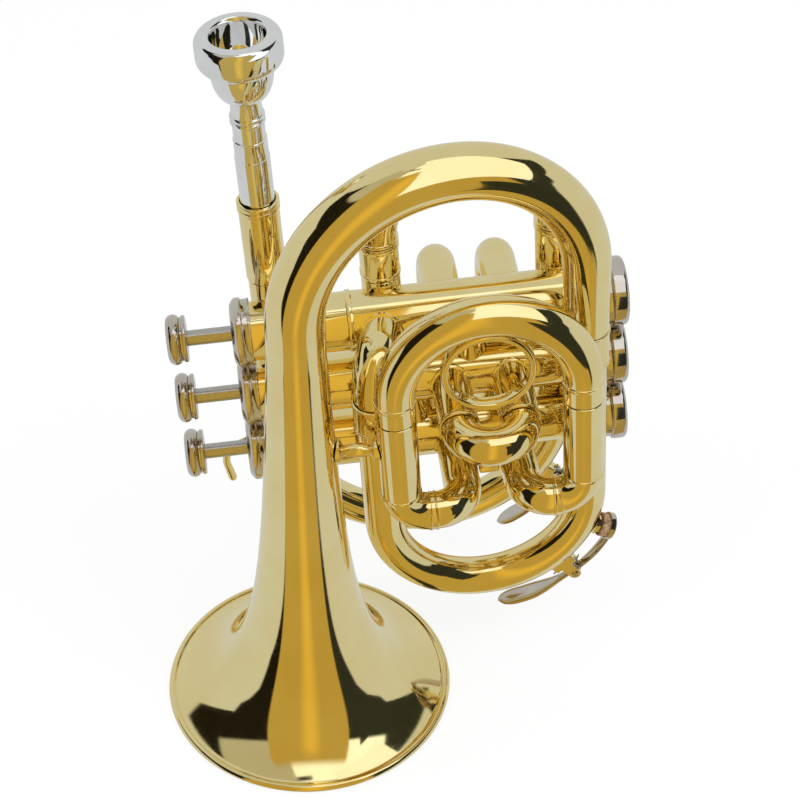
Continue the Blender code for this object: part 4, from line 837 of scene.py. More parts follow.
def makeSecond():
    spot = valveSpots[1]
    for side, x in (("left", valves["portX"][0]), ("right", valves["portX"][1])):
        low, high = hornBox(f"second_outer_tube_{side}")
        line = routeOf([(x, low.y, spot.z), (x, spot.y, spot.z)], [])
        tube = tubeAlong(line, bore["outer"], startLip=second["lip"])
        tube = combined(tube, [casingSpace(1)])
        flange = saddleFlange(1, (x, spot.y - third["flangeReach"], spot.z),
                              (x, spot.y, spot.z), bore["outer"])
        addPiece(f"second_sleeve_{side}", joined(tube, flange), brass, "horn",
                 [f"second_outer_tube_{side}"])
    low, high = hornBox("second_slide")
    near, far = valves["portX"]
    half = (far - near) / 2
    tubeEnd = hornBox("second_outer_tube_left")[0].y
    turn = tubeEnd - general["fit"]
    line = routeOf([(near, high.y, spot.z), (near, turn - half, spot.z),
                    (far, turn - half, spot.z), (far, high.y, spot.z)], [half] * 2)
    total = distancesOf(line)[-1]
    inside = high.y - turn
    rings = [(inside, total - inside, bore["outer"] - general["fit"] - bore["leg"])]
    addPiece("second_bow", tubeAlong(line, bore["leg"], rings), brass, "second_slide",
             ["second_slide"])


makeSecond()
print("second slide done")


# first slide: behind the valves, pointing down

first = {"bend": 10.0, "lip": (2.0, 0.2)}


def makeFirst():
    spot = valveSpots[0]
    y = nodeMiddle("first_slide").y
    for side, x in (("left", valves["portX"][0]), ("right", valves["portX"][1])):
        low, high = hornBox(f"first_outer_tube_{side}")
        line = routeOf([(x, spot.y, spot.z), (x, y, spot.z), (x, y, low.z)], [first["bend"]])
        tube = tubeAlong(line, bore["outer"] - first["lip"][1], endLip=first["lip"])
        tube = combined(tube, [casingSpace(0)])
        flange = saddleFlange(0, (x, spot.y + third["flangeReach"], spot.z),
                              (x, spot.y, spot.z), bore["outer"])
        addPiece(f"first_sleeve_{side}", joined(tube, flange), brass, "horn",
                 [f"first_outer_tube_{side}"])
    low, high = hornBox("first_slide")
    near, far = valves["portX"]
    half = (far - near) / 2
    sleeveEnd = hornBox("first_outer_tube_left")[0].z
    turn = low.z + bore["outer"] - general["fit"] + half
    line = hairpin((near, y, high.z), (far, y, high.z), turn - half, half)
    total = distancesOf(line)[-1]
    inside = high.z - sleeveEnd + general["fit"]
    rings = [(inside, total - inside, bore["outer"] - general["fit"] - bore["leg"])]
    addPiece("first_bow", tubeAlong(line, bore["leg"], rings), brass, "first_slide",
             ["first_slide"])


makeFirst()
print("first slide done")


# mouthpiece, receiver and leadpipe

mouth = {
    "rimRadius": 13.3, "rimTop": 9.9, "rimCurve": 3.2, "rimDepth": 7.5, "rimFoot": 11.1,
    "bowlRadius": 9.7, "bowlTop": 12.4, "neckDepth": 22.6, "neckRadius": 4.8,
    "stemRadius": 5.0, "beads": ((28.4, 29.6), (30.2, 31.5)), "beadRadius": 5.5,
    "line": (37.3, 38.1), "lineRise": 0.3, "step": 44.0, "shank": 5.5, "tip": 4.8, "taper": 64.0,
    "cupRadius": 8.2, "cupDepth": 11.5, "biteRound": 1.7, "throat": 1.9, "backbore": 4.0,
    "throatRun": 4.0, "throatRound": 0.4, "cupFloor": 1.6, "neckFoot": 27.9, "sides": 128,
}


# a quarter of an ellipse between two outline points, flat side first or last
def quarterTurn(start, end, flatFirst, steps=10):
    points = []
    for i in range(1, steps + 1):
        angle = math.pi / 2 * i / steps
        along, across = (math.sin(angle), 1 - math.cos(angle)) if flatFirst else \
            (1 - math.cos(angle), math.sin(angle))
        points.append((start[0] + (end[0] - start[0]) * along,
                       start[1] + (end[1] - start[1]) * across))
    return points


# outside of the mouthpiece as (depth under the rim, radius), from the rim to the tip
def mouthOutside(length):
    rim, stem, bowl, shank = (mouth[name] for name in ("rimRadius", "stemRadius", "bowlRadius",
                                                       "shank"))
    neck, foot, step = mouth["neckRadius"], mouth["rimFoot"], mouth["step"]
    outline = [(0.0, mouth["rimTop"])]
    outline += quarterTurn(outline[0], (mouth["rimCurve"], rim), False)
    outline.append((mouth["rimDepth"], rim))
    outline += quarterTurn(outline[-1], (foot, bowl + 0.15), True)
    outline += [(foot + 0.15, bowl), (mouth["bowlTop"], bowl)]
    outline += quarterTurn(outline[-1], (mouth["neckDepth"], neck), True, 14)
    outline += [(mouth["neckDepth"] + 0.4, neck - 0.15), (mouth["neckFoot"], stem)]
    for start, end in mouth["beads"]:
        half = (end - start) / 2
        rise = mouth["beadRadius"] - stem
        outline += [((start + end) / 2 - half * math.cos(math.pi * i / 8),
                     stem + rise * math.sin(math.pi * i / 8) ** 0.5) for i in range(9)]
    start, end = mouth["line"]
    line = stem + mouth["lineRise"]
    outline += [(start - 0.2, stem), (start, line), (end, line), (end + 0.15, stem + 0.25)]
    outline += [(step - 0.1, stem + 0.3), (step, shank), (mouth["taper"], shank)]
    return outline + [(length, mouth["tip"])]


def makeMouthpiece():
    low, high = hornBox("mouthpiece")
    length = high.z - low.z
    outline = [(-depth, radius) for depth, radius in reversed(mouthOutside(length))]
    bite, depth, throat = mouth["biteRound"], mouth["cupDepth"], mouth["throat"]
    outline += arcOf(-bite, mouth["cupRadius"] + bite, bite, 0, -90, 8)
    neck = throat + mouth["throatRound"]
    wide = mouth["cupRadius"] - neck
    for i in range(1, 13):
        angle = math.radians(86.0 * i / 12)
        outline.append((-bite - (depth - mouth["cupFloor"]) * math.sin(angle),
                        neck + wide * math.cos(angle)))
    outline += [(-depth, throat), (-depth - mouth["throatRun"], throat)]
    outline.append((-length, mouth["backbore"]))
    middle = nodeMiddle("mouthpiece")
    made = turnedOn((middle.x, middle.y, high.z), (0, 0, 1), outline, mouth["sides"])
    addPiece("mouthpiece_turned", made, silver, "mouthpiece", ["mouthpiece"], sharp=30.0)


receiver = {"radius": 6.5, "bead": 6.8, "beads": ((0.1, 1.5), (1.9, 3.6)), "beadEdge": 0.3,
            "wall": 1.5}
leadpipe = {"seam": (3.0, 0.25), "sleeveLip": (1.6, 0.28), "sleeveMouth": (2.2, 0.32),
            "inletBend": 8.4}


def makeReceiver(spot):
    low, high = hornBox("receiver")
    radius, edge, fit = receiver["radius"], receiver["beadEdge"], general["fit"]
    length = high.z - low.z
    boreLow = radius - receiver["wall"]
    tipPlace = hornBox("mouthpiece")[0].z - low.z
    outline = [(0.0, boreLow), (0.0, radius - 0.25), (0.35, radius)]
    for start, end in reversed(receiver["beads"]):
        outline += arcOf(length - end + edge, receiver["bead"] - edge, edge, 180, 90, 4)
        outline += arcOf(length - start - edge, receiver["bead"] - edge, edge, 90, 0, 4)
    outline += [(length, radius - 0.35), (length, mouth["shank"] + fit)]
    outline += [(tipPlace, mouth["tip"] + fit), (tipPlace - 0.6, boreLow)]
    made = turnedOn((spot.x, spot.y, low.z), (0, 0, 1), outline, 80)
    addPiece("receiver_turned", made, brass, "horn", ["receiver"], sharp=30.0)


def makeLeadpipe():
    spot = nodeMiddle("leadpipe")
    makeReceiver(spot)
    tube = uprightTube("leadpipe", spot, bore["tube"], startLip=leadpipe["seam"])
    addPiece("lead_tube", tube, brass, "horn", ["leadpipe"])
    low, high = hornBox("leadpipe_bow")
    right, left = nodeMiddle("tuning_outer_tube_right"), nodeMiddle("tuning_outer_tube_left")
    line = hairpin((spot.x, spot.y, high.z), (right.x, spot.y, high.z), low.z + bore["tube"],
                   step=2.0)
    addPiece("back_bow", tubeAlong(line, bore["tube"], sides=general["bowSides"]), brass, "horn",
             ["leadpipe_bow"])
    for side, x in (("left", left.x), ("right", right.x)):
        node = f"tuning_outer_tube_{side}"
        tube = uprightTube(node, Vector((x, spot.y, 0.0)), bore["outer"],
                           startLip=leadpipe["sleeveLip"], endLip=leadpipe["sleeveMouth"])
        addPiece(f"tuning_sleeve_{side}", tube, brass, "horn", [node])
    seam = hornBox("tuning_outer_tube_left")[0].z - general["fit"]
    valve = valveSpots[2]
    line = routeOf([(left.x, spot.y, seam), (left.x, spot.y, valve.z), (left.x, valve.y, valve.z)],
                   [leadpipe["inletBend"]])
    inlet = combined(tubeAlong(line, bore["outer"]), [casingSpace(2)])
    flange = saddleFlange(2, (left.x, valve.y + third["flangeReach"], valve.z),
                          (left.x, valve.y, valve.z), bore["outer"])
    addPiece("inlet_turn", joined(inlet, flange), brass, "horn", ["valve_3_inlet"])


tuning = {"bend": 20.0, "lip": (1.4, 0.28)}


def makeTuning():
    low, high = hornBox("tuning_slide_bow")
    left, right = nodeMiddle("tuning_outer_tube_left"), nodeMiddle("tuning_outer_tube_right")
    y, lip = left.y, tuning["lip"]
    line = hairpin((left.x, y, low.z), (right.x, y, low.z), high.z - bore["outer"],
                   tuning["bend"], 2.5)
    bow = tubeAlong(line, bore["outer"], sides=general["bowSides"], startLip=lip, endLip=lip)
    addPiece("tuning_bow", bow, brass, "tuning_slide", ["tuning_slide_bow"])
    for side, x in (("left", left.x), ("right", right.x)):
        node = f"tuning_leg_{side}"
        leg = uprightTube(node, Vector((x, y, 0.0)), bore["leg"])
        addPiece(f"tuning_inner_{side}", leg, nickel, "tuning_slide", [node])


makeMouthpiece()
makeLeadpipe()
makeTuning()
print("leadpipe side done")


# braces: a turned bar from the bell to the third slide, and a flat one between the knuckles

brace = {
    "foot": 3.7, "footDepth": 1.0, "footEdge": 0.3, "into": 1.5, "neck": 1.55, "neckRun": 1.1,
    "belly": 2.35, "toolReach": 12.0, "barRound": 0.8, "barSteps": 4,
}
zAxis = Vector((0.0, 0.0, 1.0))


# a box with rounded edges, in the frame of a place
def roundedBlock(size, middle, offset, place, segments=3):
    bm = bmesh.new()
    scale = Matrix.Translation(middle) @ Matrix.Diagonal((*size, 1.0))
    bmesh.ops.create_cube(bm, size=1.0, matrix=scale)
    bmesh.ops.bevel(bm, geom=bm.edges, offset=offset, segments=segments, profile=0.5,
                    affect="EDGES", material=-1)
    bmesh.ops.transform(bm, matrix=place, verts=bm.verts)
    return bm


def makeBraces():
    low, high = hornBox("bell_brace")
    height = (low.z + high.z) / 2
    stem = toHorn @ (mouthCentre + Vector((0.0, 0.0, 0.001)))
    start = stem * (height / stem.z)
    sleeve = nodeMiddle("third_outer_tube_left")
    end = Vector((sleeve.x, sleeve.y, start.z))
    fit, foot, neck, belly = general["fit"], brace["foot"], brace["neck"], brace["belly"]
    edge, into, run, reach = (brace[name] for name in ("footEdge", "into", "neckRun", "toolReach"))
    bellSide = bellRadius(height) + fit
    tubeSide = (end - start).length - bore["outer"] - fit
    a, b = bellSide + brace["footDepth"], tubeSide - brace["footDepth"]
    outline = [(bellSide - into, 0.0), (bellSide - into, foot), (a - edge, foot), (a, foot - edge)]
    outline += [(a + 0.5, neck + 0.7), (a + run, neck)]
    for i in range(1, 16):
        share = i / 16
        outline.append((a + run + (b - a - run * 2) * share,
                        neck + (belly - neck) * math.sin(math.pi * share) ** 0.8))
    outline += [(b - run, neck), (b - 0.5, neck + 0.7), (b, foot - edge), (b + edge, foot)]
    outline += [(tubeSide + into, foot), (tubeSide + into, 0.0)]
    bar = turnedOn(start, (end - start).normalized(), outline, 48)
    bellTool = rodBetween(start - stem * reach, start + stem * reach, bellSide, 128)
    sleeveTool = rodBetween(end - zAxis * reach, end + zAxis * reach, bore["outer"] + fit, 96)
    addPiece("brace_turned", combined(bar, [bellTool, sleeveTool]), brass, "horn", ["bell_brace"])

    low, high = hornBox("knuckle_brace")
    flat = roundedBlock(high - low, (low + high) / 2, brace["barRound"], Matrix.Identity(4),
                        brace["barSteps"])
    addPiece("brace_flat", flat, brass, "horn", ["knuckle_brace"])


makeBraces()
print("braces done")


# hook for the little finger

hook = {
    "root": 2.6, "thin": 1.15, "thick": 1.5, "bend": 8.0, "tuck": 2.6, "sides": 32, "inset": 2.0,
    "below": 1.6, "drop": 9.4, "footClear": 0.2, "flareFrom": 4.3, "flareLength": 3.4,
    "toolReach": 14.0, "stations": (4.5, 5.5, 6.5, 8.0), "endStations": (6.0, 2.0),
    "capAngles": (0, 30, 55, 75), "tip": 0.25,
}


def makeHook():
    low, high = hornBox("pinky_hook")
    pipe = nodeMiddle("leadpipe")
    start = Vector((pipe.x - hook["inset"], pipe.y, high.z - hook["below"]))
    turn = Vector((low.x + hook["thin"], pipe.y, start.z - hook["drop"]))
    end = Vector((turn.x + hook["tuck"], pipe.y, low.z + hook["footClear"]))
    line = routeOf([start, turn, end], [hook["bend"]], 6.0)
    total = distancesOf(line)[-1]
    thin, thick = hook["thin"], hook["thick"]
    marks = [*hook["stations"], *(total - back for back in hook["endStations"])]
    marks += [total - thick * (1 - math.sin(math.radians(angle))) for angle in hook["capAngles"]]
    rings = []
    for distance, station in withMarks(line, marks):
        radius = thin + (thick - thin) * (distance / total) ** 2
        flare = max(0.0, 1 - max(0.0, distance - hook["flareFrom"]) / hook["flareLength"])
        radius += (hook["root"] - thin) * flare ** 2
        rest = total - distance
        if rest < thick:                        # the end is a half ball
            radius = max(hook["tip"], math.sqrt(max(0.0, thick ** 2 - (thick - rest) ** 2)))
        rings.append((station, radius))
    rod = rodAlong([station for station, radius in rings], [radius for station, radius in rings],
                   hook["sides"])
    reach = zAxis * hook["toolReach"]
    middle = Vector((pipe.x, pipe.y, start.z))
    pipeTool = rodBetween(middle - reach, middle + reach, bore["tube"] + general["fit"], 96)
    addPiece("hook_bent", combined(rod, [pipeTool]), brass, "horn", ["pinky_hook"])


makeHook()
print("hook done")


# water keys: saddle with its screwed pin, nipple, cork, and the lever that rocks on the pin

key = {
    "earMiddle": 3.15, "ear": 1.3, "earRound": 0.15, "barrel": 2.1, "barrelWidth": 4.4, "pin": 0.9,
    "pivotRise": 6.2, "footLength": 8.4, "footDepth": 1.2, "footRound": 0.5, "screw": 1.35,
    "screwRise": 0.45, "slot": 0.35, "slotDepth": 0.8, "slotTurn": 35, "corkRun": 22.0,
    "spoonRun": 29.0, "spoonWidth": 7.6, "neckWidth": 3.0, "armWidth": 4.4, "thick": 1.5,
    "lift": 1.0, "bulge": 0.5, "leafEnd": 0.86, "leafRun": 0.5, "spoonSteps": 26, "armSteps": 16,
    "corkRadius": 4.2, "corkHeight": 4.0, "nipple": 3.0, "nippleBore": 1.4, "nippleHeight": 1.4,
    "nippleRoot": 1.5, "cupWall": 0.45, "cupSkirt": 1.5, "wire": 0.26, "wireTurns": 3,
    "wireSteps": 24, "wireSide": 0.8,
}


# slow at both ends, from 0 to 1
def eased(share):
    return share * share * (3 - 2 * share)


# a placement on the outer side of a bow: x away from the tube, z on along the bow
def onBow(middle, reach, angle):
    away = Vector((math.cos(angle), 0.0, math.sin(angle)))
    along = Vector((-math.sin(angle), 0.0, math.cos(angle)))
    turn = Matrix((away, along.cross(away), along)).transposed().to_4x4()
    return Matrix.Translation(Vector(middle) + away * reach) @ turn


def bowSpace(middle, turn, tubeRadius, angle, reach=0.0):
    line = []
    for i in range(-8, 9):
        place = onBow(middle, turn, angle + i * 0.05)
        line.append((place.to_translation(), place.to_3x3() @ Vector((0.0, 0.0, 1.0))))
    return rodAlong(line, tubeRadius + reach, 96)


# a strip of oval sections, each (placement, thickness, width)
def stripOf(sections, sides=24):
    rings = [(place @ Matrix.Diagonal((thick / 2, width / 2, 1.0, 1.0)), 1.0)
             for place, thick, width in sections]
    return skinOver(rings, sides, closed=False)


# a rod through the pivot's place, from one side to the other
def acrossPivot(pivot, reach, radius):
    return rodBetween(pivot @ Vector((0.0, -reach, 0.0)), pivot @ Vector((0.0, reach, 0.0)), radius,
                      32)


def keySaddle(number, middle, turn, tubeRadius, pivot, angle):
    rise, ear, barrel = key["pivotRise"], key["ear"], key["barrel"]
    side = pivot.to_3x3() @ Vector((0.0, 1.0, 0.0))
    outerSide = key["earMiddle"] + ear / 2
    foot = roundedBlock((key["footDepth"] * 3, outerSide * 2, key["footLength"]), (-rise, 0.0, 0.0),
                        key["footRound"], pivot)
    ears = []
    for place in (-key["earMiddle"], key["earMiddle"]):
        start = pivot @ Vector((0.0, place, 0.0)) - side * ear / 2
        ears.append(turnedOn(start, side, discOutline(0.0, ear, barrel), 40))
        ears.append(roundedBlock((rise, ear - 0.02, barrel * 1.9), (-rise / 2, place, 0.0),
                                 key["earRound"], pivot))
    saddle = combined(foot, ears, "UNION")
    space = bowSpace(middle, turn, tubeRadius, angle, general["fit"])
    saddle = combined(saddle, [acrossPivot(pivot, 9.0, key["pin"] + 0.05), space])
    addPiece(f"key_saddle_{number}", saddle, brass, "horn", [f"water_key_saddle_{number}"])


def keyScrew(number, pivot):
    side = pivot.to_3x3() @ Vector((0.0, 1.0, 0.0))
    outerSide = key["earMiddle"] + key["ear"] / 2
    head, pin, radius = -outerSide - key["screwRise"], key["pin"], key["screw"]
    outline = [(head, 0.0), (head, radius - 0.3), (head + 0.3, radius), (-outerSide, radius)]
    outline += [(-outerSide, pin), (outerSide, pin), (outerSide + 0.25, pin - 0.25)]
    outline += [(outerSide + 0.25, 0.0)]
    screw = turnedOn(pivot.to_translation(), side, outline, 40)
    slot = roundedBlock((radius * 2.2, key["slotDepth"], key["slot"]), (0.0, head, 0.0), 0.05,
                        pivot @ Matrix.Rotation(math.radians(key["slotTurn"]), 4, "Y"))
    addPiece(f"key_screw_{number}", combined(screw, [slot]), nickel, "horn", [])


# the wire starts at the saddle's foot, winds round the barrel and ends under the spoon
def keySpring(number, pivot):
    steps, side = key["wireSteps"], key["wireSide"]
    turns = key["wireTurns"] * steps
    reach = key["barrel"] + key["wire"] + 0.12
    coil = [(2.4 - key["pivotRise"], -side, 5.2), (-reach * 0.9, -side, 2.6)]
    for i in range(6, turns + 1):
        at = 2 * math.pi * i / steps
        coil.append((-reach * math.cos(at), side * (2 * i / turns - 1), reach * math.sin(at)))
    coil += [(-reach, 0.9, -2.8), (1.2 - reach, 0.9, -7.5)]
    wire = rodAlong(throughPoints([pivot @ Vector(point) for point in coil]), key["wire"], 12)
    addPiece(f"key_spring_{number}", wire, steel, "horn", [])


def keyNipple(number, middle, turn, tubeRadius, port, corkAngle):
    away = port.to_3x3() @ Vector((1.0, 0.0, 0.0))
    height, radius, hole, root = (key[name] for name in ("nippleHeight", "nipple", "nippleBore",
                                                         "nippleRoot"))
    outline = [(-root, hole), (-root, radius + 0.7), (0.1, radius + 0.7), (0.3, radius + 0.45)]
    outline += [(0.5, radius), (height - 0.25, radius), (height, radius - 0.25), (height, hole)]
    nipple = turnedOn(port.to_translation(), away, outline, 48)
    nipple = combined(nipple, [bowSpace(middle, turn, tubeRadius, corkAngle, general["fit"])])
    addPiece(f"key_nipple_{number}", nipple, brass, "horn", [f"water_key_nipple_{number}"])
    low = height + general["fit"]
    top = low + key["corkHeight"]
    radius = key["corkRadius"]
    outline = [(low, 0.0), (low, radius - 0.45), (low + 0.2, radius - 0.15)]
    outline += [(top - 0.2, radius), (top, radius - 0.2), (top, 0.0)]
    pad = turnedOn(port.to_translation(), away, outline, 48)
    addPiece(f"key_cork_{number}", pad, cork, f"water_key_{number}", [f"water_key_cork_{number}"])
    return top


# sections of the lever: the spoon from its tip to the pin, then the arm to the cork's cup
def leverSections(middle, pivotReach, angle, corkAngle, topReach):
    reach, thick, neck = pivotReach + key["barrel"] * 0.45, key["thick"], key["neckWidth"]
    steps = key["spoonSteps"]
    sections = []
    for i in range(steps + 1):
        share = i / steps
        tip = math.sqrt(max(0.02, 1 - (1 - min(1.0, share / 0.22)) ** 2))
        leaf = eased(min(1.0, max(0.0, (key["leafEnd"] - share) / key["leafRun"])))
        width = (neck + (key["spoonWidth"] - neck) * leaf) * tip
        turn = -key["spoonRun"] / pivotReach * (1 - share)
        depth = thick * (0.55 + 0.45 * min(1.0, share / 0.1))
        lift = key["lift"] * (1 - share) ** 2 + key["bulge"] * math.sin(math.pi * share)
        sections.append((onBow(middle, reach + lift, angle + turn), depth, width))
    steps = key["armSteps"]
    for i in range(1, steps + 1):
        share = i / steps
        rise = eased(min(1.0, share / 0.8))
        width = neck + (key["armWidth"] - neck) * min(1.0, share * 2)
        width *= math.sqrt(max(0.05, 1 - max(0.0, (share - 0.85) / 0.16) ** 2))
        place = onBow(middle, reach + (topReach - reach) * rise,
                      angle + (corkAngle - angle) * (share * 1.04))
        sections.append((place, thick, width))
    return sections


def keyLever(number, middle, pivot, pivotReach, angle, port, corkAngle, corkTop):
    radius, wall, skirt = key["corkRadius"], key["cupWall"], corkTop - key["cupSkirt"]
    top, inner, outer = corkTop + wall, radius + 0.04, radius + wall
    surface = Vector(port.to_translation() - Vector(middle)).length
    topReach = surface + top + key["thick"] * 0.45
    lever = stripOf(leverSections(middle, pivotReach, angle, corkAngle, topReach))
    side = pivot.to_3x3() @ Vector((0.0, 1.0, 0.0))
    half = key["barrelWidth"] / 2
    barrel = turnedOn(pivot.to_translation(), side, discOutline(-half, half, key["barrel"]), 40)
    away = port.to_3x3() @ Vector((1.0, 0.0, 0.0))
    outline = [(corkTop, 0.0), (corkTop, inner), (skirt, inner), (skirt, outer), (top - 0.5, outer)]
    outline += arcOf(top - 0.4, outer - 0.6, 0.6, 70, 10, 4)
    outline += [(top + 0.3, radius * 0.6), (top + 0.4, 0.0)]
    cup = turnedOn(port.to_translation(), away, outline, 56)
    lever = combined(lever, [barrel, cup], "UNION")
    hole = acrossPivot(pivot, 4.0, key["pin"] + 0.15)
    addPiece(f"key_lever_{number}", combined(lever, [hole]), nickel, f"water_key_{number}",
             [f"water_key_lever_{number}"])


def makeWaterKeys():
    right, left = nodeMiddle("bell_ferrule"), nodeMiddle("tail_ferrule")
    pipe, sleeve = nodeMiddle("leadpipe"), nodeMiddle("tuning_outer_tube_right")
    places = (("bell_tail", left, right, tail["radius"]),
              ("leadpipe_bow", pipe, sleeve, bore["tube"]))
    for number, (node, start, end, tubeRadius) in enumerate(places, 1):
        saddleMiddle = toHorn @ Vector(jointNamed(f"water_key_{number}_open")["pos_m"])
        turn = (end.x - start.x) / 2
        bottom = hornBox(node)[0].z + tubeRadius
        middle = Vector(((start.x + end.x) / 2, saddleMiddle.y, bottom + turn))
        arm = saddleMiddle - middle
        angle = math.atan2(arm.z, arm.x)
        pivotReach = math.hypot(arm.x, arm.z)
        pivot = onBow(middle, pivotReach, angle)
        corkAngle = angle + key["corkRun"] / pivotReach
        port = onBow(middle, turn + tubeRadius, corkAngle)
        keySaddle(number, middle, turn, tubeRadius, pivot, angle)
        keyScrew(number, pivot)
        keySpring(number, pivot)
        corkTop = keyNipple(number, middle, turn, tubeRadius, port, corkAngle)
        keyLever(number, middle, pivot, pivotReach, angle, port, corkAngle, corkTop)


makeWaterKeys()
print("water keys done")


# floor, studio and camera

floorLook = {"size": 3.0, "color": (0.80, 0.80, 0.80), "roughness": 0.9, "whitened": 0.86}


def makeFloor():
    bm = bmesh.new()
    bmesh.ops.create_grid(bm, x_segments=1, y_segments=1, size=floorLook["size"])
    floor = asObject("studio_floor", bm)
    material = newMaterial("floor_paper", floorLook["color"], floorLook["roughness"], metallic=0.0)
    tree = material.node_tree
    glow = tree.nodes.new("ShaderNodeEmission")
    glow.inputs["Strength"].default_value = 1.0
    light = tree.nodes.new("ShaderNodeLightPath")
    mix = tree.nodes.new("ShaderNodeMixShader")
    share = tree.nodes.new("ShaderNodeMath")
    share.operation = "MULTIPLY"
    share.inputs[1].default_value = floorLook["whitened"]
    tree.links.new(light.outputs["Is Camera Ray"], share.inputs[0])
    tree.links.new(share.outputs["Value"], mix.inputs["Fac"])
    tree.links.new(tree.nodes["Principled BSDF"].outputs["BSDF"], mix.inputs[1])
    tree.links.new(glow.outputs["Emission"], mix.inputs[2])
    tree.links.new(mix.outputs["Shader"], tree.nodes["Material Output"].inputs["Surface"])
    floor.data.materials.append(material)
    floor.visible_glossy = False


# what the polished metal sees: directions are degrees, azimuth 0 towards the viewer and
# 90 towards the bottom caps, elevation from the horizon; later patches lie over earlier ones
studio = {
    "sweep": (0.64, 0.66, 0.66),
    "dark": {                       # black cloth beside the card: (elevation, azimuth it reaches)
        "left": [(-40, 50), (-35, 53), (-20, 66), (0, 70), (10, 78), (15, 85), (24, 89), (27, 120),
                 (37, 124), (60, 98), (75, 60), (90, 0)],
        "right": [(-40, 40), (-35, 45), (-10, 57), (0, 60), (10, 68), (15, 80), (22, 84), (25, 118),
                  (28, 122), (60, 90), (75, 60), (90, 0)],
        "leftTone": (0.012, 0.010, 0.006),
        "rightTone": (0.030, 0.034, 0.026),
        "soft": 1.8, "from": 20.0, "fromSoft": 1.0, "above": -38.0, "aboveSoft": 2.0,
    },
    # name, azimuths, elevations, colour, softness of the upright edges and of the level ones
    "patches": [
        ("upper left", -99, -25, 46, 78, (0.50, 0.49, 0.43), 1.5, 1.5),
        ("upper right", -30, 76, 48, 91, (1.25, 1.27, 1.30), 1.5, 1.5),
        ("far edge", -30, -5, 75, 78, (0.030, 0.034, 0.026), 1.5, 0.8),
        ("card", -51, 38, -90, 66, (0.52, 0.37, 0.095), 1.2, 4.0),
        ("card glow", -12, 4, -40, 58, (0.79, 0.53, 0.095), 7.0, 7.0),
    ],
}


def makeStudio():
    world = bpy.data.worlds.new("studio")
    bpy.context.scene.world = world
    world.use_nodes = True
    tree = world.node_tree
    tree.nodes.clear()

    def calculate(operation, *values):
        node = tree.nodes.new("ShaderNodeMath")
        node.operation = operation
        for socket, value in zip(node.inputs, values):
            if isinstance(value, (int, float)):
                socket.default_value = value
            else:
                tree.links.new(value, socket)
        return node.outputs["Value"]

    # 0 under the start and 1 over it, with a soft edge
    def over(value, start, soft):
        node = tree.nodes.new("ShaderNodeMapRange")
        node.interpolation_type = "SMOOTHSTEP"
        node.inputs["From Min"].default_value = start - soft
        node.inputs["From Max"].default_value = start + soft
        tree.links.new(value, node.inputs["Value"])
        return node.outputs["Result"]

    def within(value, low, high, soft):
        under = calculate("SUBTRACT", 1.0, over(value, high, soft))
        return calculate("MULTIPLY", over(value, low, soft), under)

    def laidOver(name, under, tone, mask):
        mix = tree.nodes.new("ShaderNodeMix")
        mix.label = name
        mix.data_type = "RGBA"
        mix.inputs["B"].default_value = (*tone, 1.0)
        tree.links.new(mask, mix.inputs["Factor"])
        tree.links.new(under, mix.inputs["A"])
        return mix.outputs["Result"]

    spot = tree.nodes.new("ShaderNodeTexCoord")
    parts = tree.nodes.new("ShaderNodeSeparateXYZ")
    tree.links.new(spot.outputs["Generated"], parts.inputs["Vector"])
    x, y, z = parts.outputs
    toDegrees = math.degrees(1.0)
    azimuth = calculate("ARCTAN2", x, calculate("MULTIPLY", y, -1.0))
    azimuth = calculate("MULTIPLY", azimuth, toDegrees)
    elevation = calculate("MULTIPLY", calculate("ARCSINE", z), toDegrees)
    color = tree.nodes.new("ShaderNodeRGB")
    color.outputs[0].default_value = (*studio["sweep"], 1.0)
    current = color.outputs[0]
    dark = studio["dark"]
    height = calculate("DIVIDE", calculate("ADD", elevation, 90.0), 180.0)
    for side, sign in (("left", -1.0), ("right", 1.0)):
        reach = tree.nodes.new("ShaderNodeFloatCurve")
        curve = reach.mapping.curves[0]
        pairs = [((low + 90) / 180, limit / 180) for low, limit in dark[side]]
        curve.points[0].location = (0.0, pairs[0][1])
        curve.points[1].location = pairs[-1]
        for pair in pairs[:-1]:
            curve.points.new(*pair)
        for point in curve.points:
            point.handle_type = "VECTOR"
        reach.mapping.update()
        tree.links.new(height, reach.inputs["Value"])
        limit = calculate("MULTIPLY", reach.outputs["Value"], 180.0)
        aside = calculate("MULTIPLY", azimuth, sign)
        mask = over(calculate("SUBTRACT", limit, aside), 0.0, dark["soft"])
        mask = calculate("MULTIPLY", mask, over(aside, dark["from"], dark["fromSoft"]))
        mask = calculate("MULTIPLY", mask, over(elevation, dark["above"], dark["aboveSoft"]))
        current = laidOver(f"dark {side}", current, dark[f"{side}Tone"], mask)
    for name, azimuthFrom, azimuthTo, low, high, tone, soft, fade in studio["patches"]:
        mask = calculate("MULTIPLY", within(azimuth, azimuthFrom, azimuthTo, soft),
                         within(elevation, low, high, fade))
        current = laidOver(name, current, tone, mask)
    seen = tree.nodes.new("ShaderNodeBackground")
    tree.links.new(current, seen.inputs["Color"])
    plain = tree.nodes.new("ShaderNodeBackground")
    plain.inputs["Color"].default_value = (1.0, 1.0, 1.0, 1.0)
    light = tree.nodes.new("ShaderNodeLightPath")
    mix = tree.nodes.new("ShaderNodeMixShader")
    tree.links.new(light.outputs["Is Glossy Ray"], mix.inputs["Fac"])
    tree.links.new(plain.outputs["Background"], mix.inputs[1])
    tree.links.new(seen.outputs["Background"], mix.inputs[2])
    output = tree.nodes.new("ShaderNodeOutputWorld")
    tree.links.new(mix.outputs["Shader"], output.inputs["Surface"])


